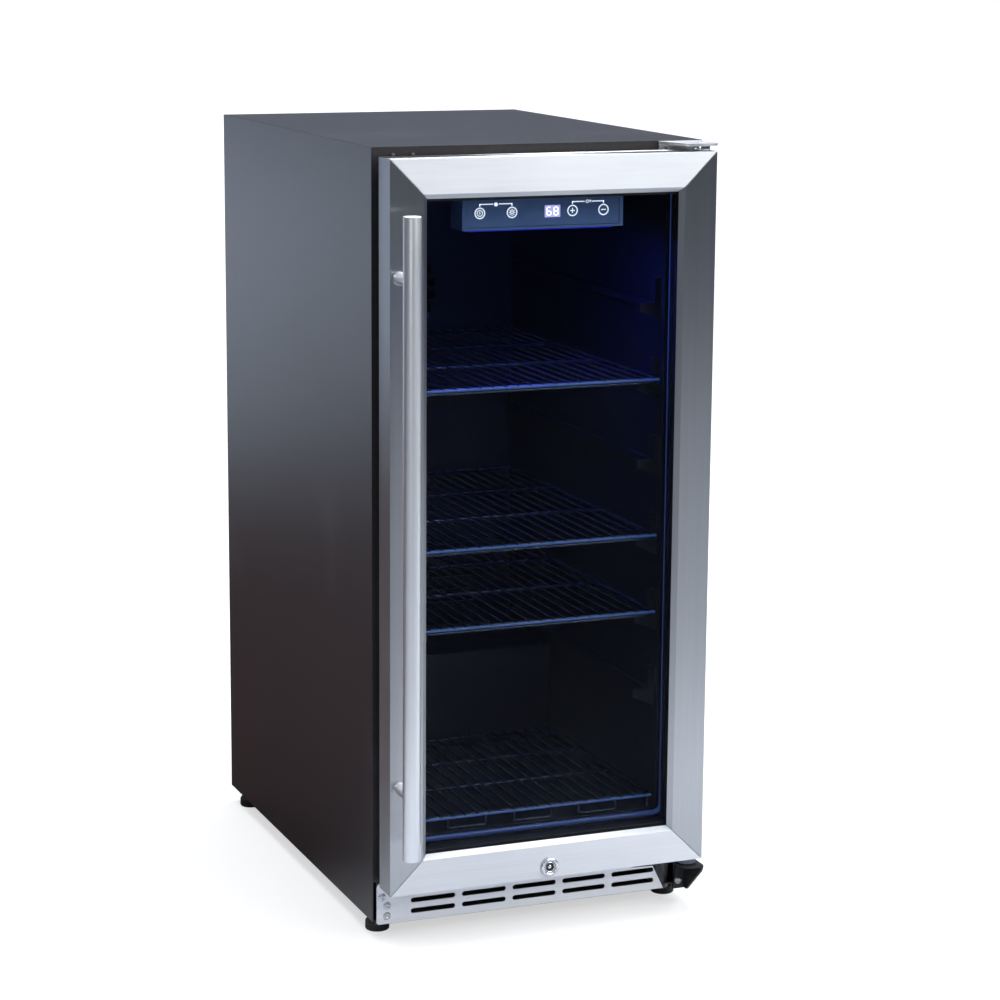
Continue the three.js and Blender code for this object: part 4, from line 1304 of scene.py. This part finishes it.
    def screen(self) -> None:
        """The lit window and two seven-segment numerals."""
        face = corners_of("control_overlay")[0][1]
        z = middle_of("button_power")[2]
        wide, tall = self.display
        low = [self.display_x - wide / 2, face - 0.08 * MM, z - tall / 2]
        high = [self.display_x + wide / 2, face + 0.05 * MM, z + tall / 2]
        Skin().rings(slab(low, high, 0.04 * MM, Axis.Y, 0.8 * MM)).build("display_window", DISPLAY, "cabinet")
        skin = Skin()
        for digit, lit in enumerate(("acdefg", "abcdefg")):
            self.numeral(skin, self.display_x + (digit - 0.5) * wide * 0.45, z, lit, face - 0.07 * MM)
        skin.build("display_numerals", DIGITS, "cabinet")

    def numeral(self, skin: Skin, x: float, z: float, lit: str, face: float) -> None:
        """Add the lit bars of one numeral, named a to g clockwise from the top with g in the middle."""
        across, up, thick = 4.7 * MM, 4.2 * MM, 1.25 * MM
        places = {
            "a": (0, 2, True), "b": (1, 1, False), "c": (1, -1, False), "d": (0, -2, True),
            "e": (-1, -1, False), "f": (-1, 1, False), "g": (0, 0, True),
        }
        for key in lit:
            side, level, flat = places[key]
            size = (across - thick, thick) if flat else (thick, up - thick * 0.4)
            self.bar(skin, (x + side * across / 2, z + level * up / 2), size, face)


# ---------- cooling plant ----------


@dataclass
class Plant:
    """Evaporator, compressor, condenser, fans, tray and pipes."""

    blades: int = 5

    def build(self) -> None:
        """Make the cooling parts."""
        self.fin_pack("evaporator", 56, FIN_ALUMINIUM)
        self.fin_pack("condenser", 40, FIN_ALUMINIUM)
        self.fan("evaporator_fan", 44 * MM, 10 * MM)
        self.fan("condenser_fan", 46 * MM, 12 * MM)
        refined("evaporator_fan_motor", BLACK_PAINT, "cabinet", 0.4 * MM)
        refined("condenser_fan_frame", ZINC, "cabinet", 0.3 * MM)
        refined("drip_tray", BLACK_PLASTIC, "cabinet", 0.5 * MM)
        refined("drain_tube", BLACK_PLASTIC, "cabinet", 0.2 * MM)
        dress(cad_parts["refrigerant_pipe"], COPPER)
        self.compressor()

    def fin_pack(self, node: str, fins: int, look: object) -> None:
        """Thin fins side by side along X, threaded on rows of tube that are joined by end bends.

        Args:
            node: the CAD node.
            fins: how many fins.
            look: the finish.
        """
        low, high = corners_of(node)
        skin = Skin()
        thick = 0.25 * MM
        for x in np.linspace(low[0] + 6 * MM, high[0] - 6 * MM, fins):
            near, far = [x - thick, low[1], low[2]], [x + thick, high[1], high[2]]
            skin.rings(slab(near, far, 0.1 * MM, Axis.X, 1 * MM)[::3])
        rows = np.arange(low[2] + 14 * MM, high[2] - 10 * MM, 22 * MM)
        y = (low[1] + high[1]) / 2
        ends = (low[0] + 4 * MM, high[0] - 4 * MM)
        corners = []
        for number, z in enumerate(rows):
            order = ends if number % 2 == 0 else ends[::-1]
            corners += [[order[0], y, z], [order[1], y, z]]
        skin.rings(tube(bends(corners, 8 * MM, 6), 3.6 * MM, 12, (0, 1, 0)))
        skin.build(f"{node}_fins", look, "cabinet", [node], 50)

    def fan(self, node: str, radius: float, depth: float) -> None:
        """A hub and curved blades about Y.

        A blade's sections are thin ovals at rising radii; each is turned by its pitch, which flattens
        towards the tip, and swept back by its radius.

        Args:
            node: the CAD fan it replaces.
            radius: reach of the blades.
            depth: length of the hub along Y.
        """
        low, high = corners_of(node)
        centre = (low + high) / 2
        hub = radius * 0.28
        half = (high[1] - low[1]) / 2
        skin = Skin()
        cap = [(0.02 * MM, half), (hub * 0.9, half), (hub, half * 0.8),
               (hub, -half * 0.6), (hub * 0.8, -half * 0.95),
               (0.02 * MM, -half)]
        skin.rings(spin(rounded(cap, 0.8 * MM, 3)[::-1], centre, Axis.Y, 40))
        reach = np.linspace(hub * 0.9, radius * 0.975, 9)[:, None]
        loop = (np.arange(24) * TAU / 24)[None]
        share = (reach - reach[0]) / (reach[-1] - reach[0])
        chord = radius * (0.30 + 0.42 * np.sin(share * 2.2))
        pitch = 0.62 - 0.30 * share
        along = chord / 2 * np.cos(loop)
        thick = 0.6 * MM * np.sin(loop) * (1 - 0.3 * share) + 0.07 * chord * (np.cos(loop) ** 2 - 0.5) * -1
        tangent = along * np.cos(pitch) - thick * np.sin(pitch)
        rise = np.clip(along * np.sin(pitch) + thick * np.cos(pitch), -depth * 0.48, depth * 0.48)
        sweep = tangent / reach + 0.25 * share
        for number in range(self.blades):
            turn = sweep + number * TAU / self.blades
            side, up = reach * np.cos(turn), reach * np.sin(turn)
            skin.rings(columns(centre[0] + side, centre[1] + rise, centre[2] + up))
        skin.build(f"{node}_blades", BLACK_PLASTIC, node, [node], 50)

    def compressor(self) -> None:
        """A welded can on a mounting plate with rubber mounts and a terminal cover."""
        low, high = corners_of("compressor")
        x, y = (low[0] + high[0]) / 2, low[1] + 59.5 * MM
        can = [(0, 10), (40, 9.5), (50, 13), (56, 21), (58, 60), (58, 64), (59.5, 65), (59.5, 69), (58, 70),
               (57.5, 80), (55, 108), (48, 122), (34, 130), (0, 132.8)]
        skin = Skin().rings(spin(np.array(rounded(can, 5)) * MM, [x, y, low[2]], Axis.Z, 72))
        plate = [[x - 70 * MM, y - 45 * MM, low[2] + 9.6 * MM],
                 [x + 70 * MM, y + 45 * MM, low[2] + 12.8 * MM]]
        skin.rings(slab(*plate, 1 * MM, Axis.Z, 12 * MM))
        cover = [[x - 14 * MM, y + 50 * MM, low[2] + 39 * MM], [x + 14 * MM, y + 72 * MM, low[2] + 79 * MM]]
        skin.rings(slab(*cover, 2.5 * MM, Axis.Y, 3 * MM))
        for side in (-60, 60):
            for row in (-36, 36):
                mount = [(0, 0), (5.4, 0), (5.4, 3), (4.4, 4), (5.4, 5),
                         (5.4, 8), (4.4, 9), (5.4, 10), (5.4, 15), (0, 16.6)]
                place = [x + side * MM, y + row * MM, low[2]]
                skin.rings(spin(np.array(mount) * MM, place, Axis.Z, 32))
        skin.build("compressor_can", BLACK_PAINT, "cabinet", ["compressor"], 40)


# ---------- studio ----------


def posed(right: Array, up: Array, back: Array, place: Sequence[float]) -> Matrix:
    """A placing matrix from three directions and a point."""
    turned = np.eye(4)
    turned[:3] = np.stack([right, up, back, np.array(place)], axis=-1)
    return Matrix(turned.tolist())


@dataclass
class Studio:
    """Pale sweep, soft lights and the camera."""

    lens: float = 101.105
    place: Colour = (-1.151057, -2.965868, 1.079523)
    yaw: float = math.radians(21.986)
    pitch: float = math.radians(11.484)
    roll: float = math.radians(0.429)
    horizon: Colour = (0.05, 0.055, 0.065)
    sky: Colour = (0.45, 0.50, 0.58)

    def build(self) -> None:
        """Set up the stage."""
        self.camera()
        self.sweep()
        self.world()
        self.softbox("top_light", (0.0, 0.5, 2.9), (0, 0.2, 0.4), (2.6, 2.0), 78)
        self.softbox("left_light", (-2.2, 1.0, 2.3), (-0.2, 0.1, 0.8), (1.2, 1.6), 20)
        self.softbox("front_light", (1.5, -3.2, 2.9), (0, -0.3, 0.5), (2.6, 2.4), 100)
        self.softbox("right_light", (2.6, -0.9, 2.6), (0, -0.3, 0.5), (1.4, 1.4), 75)
        self.softbox("fill_light", (-2.6, -3.6, 1.3), (0, -0.3, 0.5), (1.4, 1.4), 15)
        self.softbox("back_light", (0.4, 2.0, 4.2), (0.2, 4.0, 1.2), (4.5, 1.2), 190)
        led_blue = (0.07, 0.13, 1.0)
        self.softbox("led_glow", (0.0, -0.2185, 0.763), (0.0, -0.15, 0.2), (0.16, 0.012), 0.8, led_blue)

    def camera(self) -> None:
        """A level camera, yawed to the right, pitched down and rolled a little."""
        data = bpy.data.cameras.new("camera")
        data.lens = self.lens
        data.sensor_width = 36
        data.clip_end = 100
        camera = bpy.data.objects.new("camera", data)
        bpy.context.scene.collection.objects.link(camera)
        flat = math.cos(self.pitch)
        forward = np.array([math.sin(self.yaw) * flat, math.cos(self.yaw) * flat, -math.sin(self.pitch)])
        level = np.array([math.cos(self.yaw), -math.sin(self.yaw), 0.0])
        above = np.cross(level, forward)
        right = level * math.cos(self.roll) + above * math.sin(self.roll)
        up = above * math.cos(self.roll) - level * math.sin(self.roll)
        camera.matrix_world = posed(right, up, -forward, self.place)
        bpy.context.scene.camera = camera

    def sweep(self) -> None:
        """Floor and backdrop in one sheet: flat, then a quarter circle, then upright."""
        turn = np.linspace(0, math.pi / 2, 16)
        radius, start = 1.6, 2.6
        run = np.concatenate([[-9.0, -4.0, 0.0], start + radius * np.sin(turn), [start + radius]])
        rise = np.concatenate([[0.0, 0.0, 0.0], radius * (1 - np.cos(turn)), [7.0]])
        across = np.linspace(-9, 9, 7)
        points = columns(across[None], run[:, None], rise[:, None])
        many, wide = points.shape[:2]
        grid = np.arange(many * wide).reshape(many, wide)
        faces = np.stack([grid[:-1, :-1], grid[:-1, 1:], grid[1:, 1:], grid[1:, :-1]], axis=-1).reshape(-1, 4)
        mesh = bpy.data.meshes.new("studio_sweep")
        mesh.from_pydata(points.reshape(-1, 3).tolist(), [], faces.tolist())
        mesh.shade_smooth()
        sheet = bpy.data.objects.new("studio_sweep", mesh)
        bpy.context.scene.collection.objects.link(sheet)
        dress(sheet, Paper("studio_paper"))

    def world(self) -> None:
        """White to the eye; elsewhere a dim horizon under a paler sky."""
        graph = Graph("studio", bpy.data.worlds.new("studio"))
        heading = graph.node("ShaderNodeTexCoord").outputs["Generated"]
        way = graph.node("ShaderNodeSeparateXYZ", None, {0: heading})
        height = Value(graph, way.outputs["Z"]).between(0.05, 0.9)
        seen = Value(graph, graph.node("ShaderNodeLightPath").outputs["Is Camera Ray"])
        colour = graph.mix(seen, graph.mix(height, self.horizon, self.sky), (1.0, 1.0, 1.0))
        back = graph.node("ShaderNodeBackground", None, {"Color": colour})
        bpy.context.scene.world = graph.finish(back.outputs[0], "ShaderNodeOutputWorld")
        bpy.context.scene.view_settings.view_transform = "Standard"

    def softbox(
        self, name: str, place: Colour, aim: Colour, size: tuple[float, float], power: float,
        colour: Colour = (1.0, 1.0, 1.0),
    ) -> None:
        """One rectangular soft light.

        Args:
            name: its name.
            place: where it hangs.
            aim: the point it faces.
            size: its width and height.
            power: in watts.
            colour: its light.
        """
        data = bpy.data.lights.new(name, "AREA")
        data.shape = "RECTANGLE"
        data.size, data.size_y = size
        data.energy = power
        data.color = colour
        light = bpy.data.objects.new(name, data)
        bpy.context.scene.collection.objects.link(light)
        back = np.array(place, float) - np.array(aim, float)
        back /= np.linalg.norm(back)
        side = np.cross([0, 1, 0.001], back)
        side /= np.linalg.norm(side)
        up = np.cross(back, side)
        light.matrix_world = posed(side, up, back, place)


@dataclass
class Fridge:
    """The whole object, built part by part."""

    parts: list = field(default_factory=lambda: [
        Cabinet(), Hinges(), Door(), Lock(), Interior(), ControlBox(), Plant(),
    ])

    def build(self) -> None:
        """Build each sub-assembly in order."""
        for part in self.parts:
            LOG.info("building %s", type(part).__name__)
            part.build()


def main() -> None:
    """Set the stage and build the fridge."""
    logging.basicConfig(level=logging.INFO, format="%(message)s")
    Studio().build()
    Fridge().build()


if __name__ == "__main__":
    main()
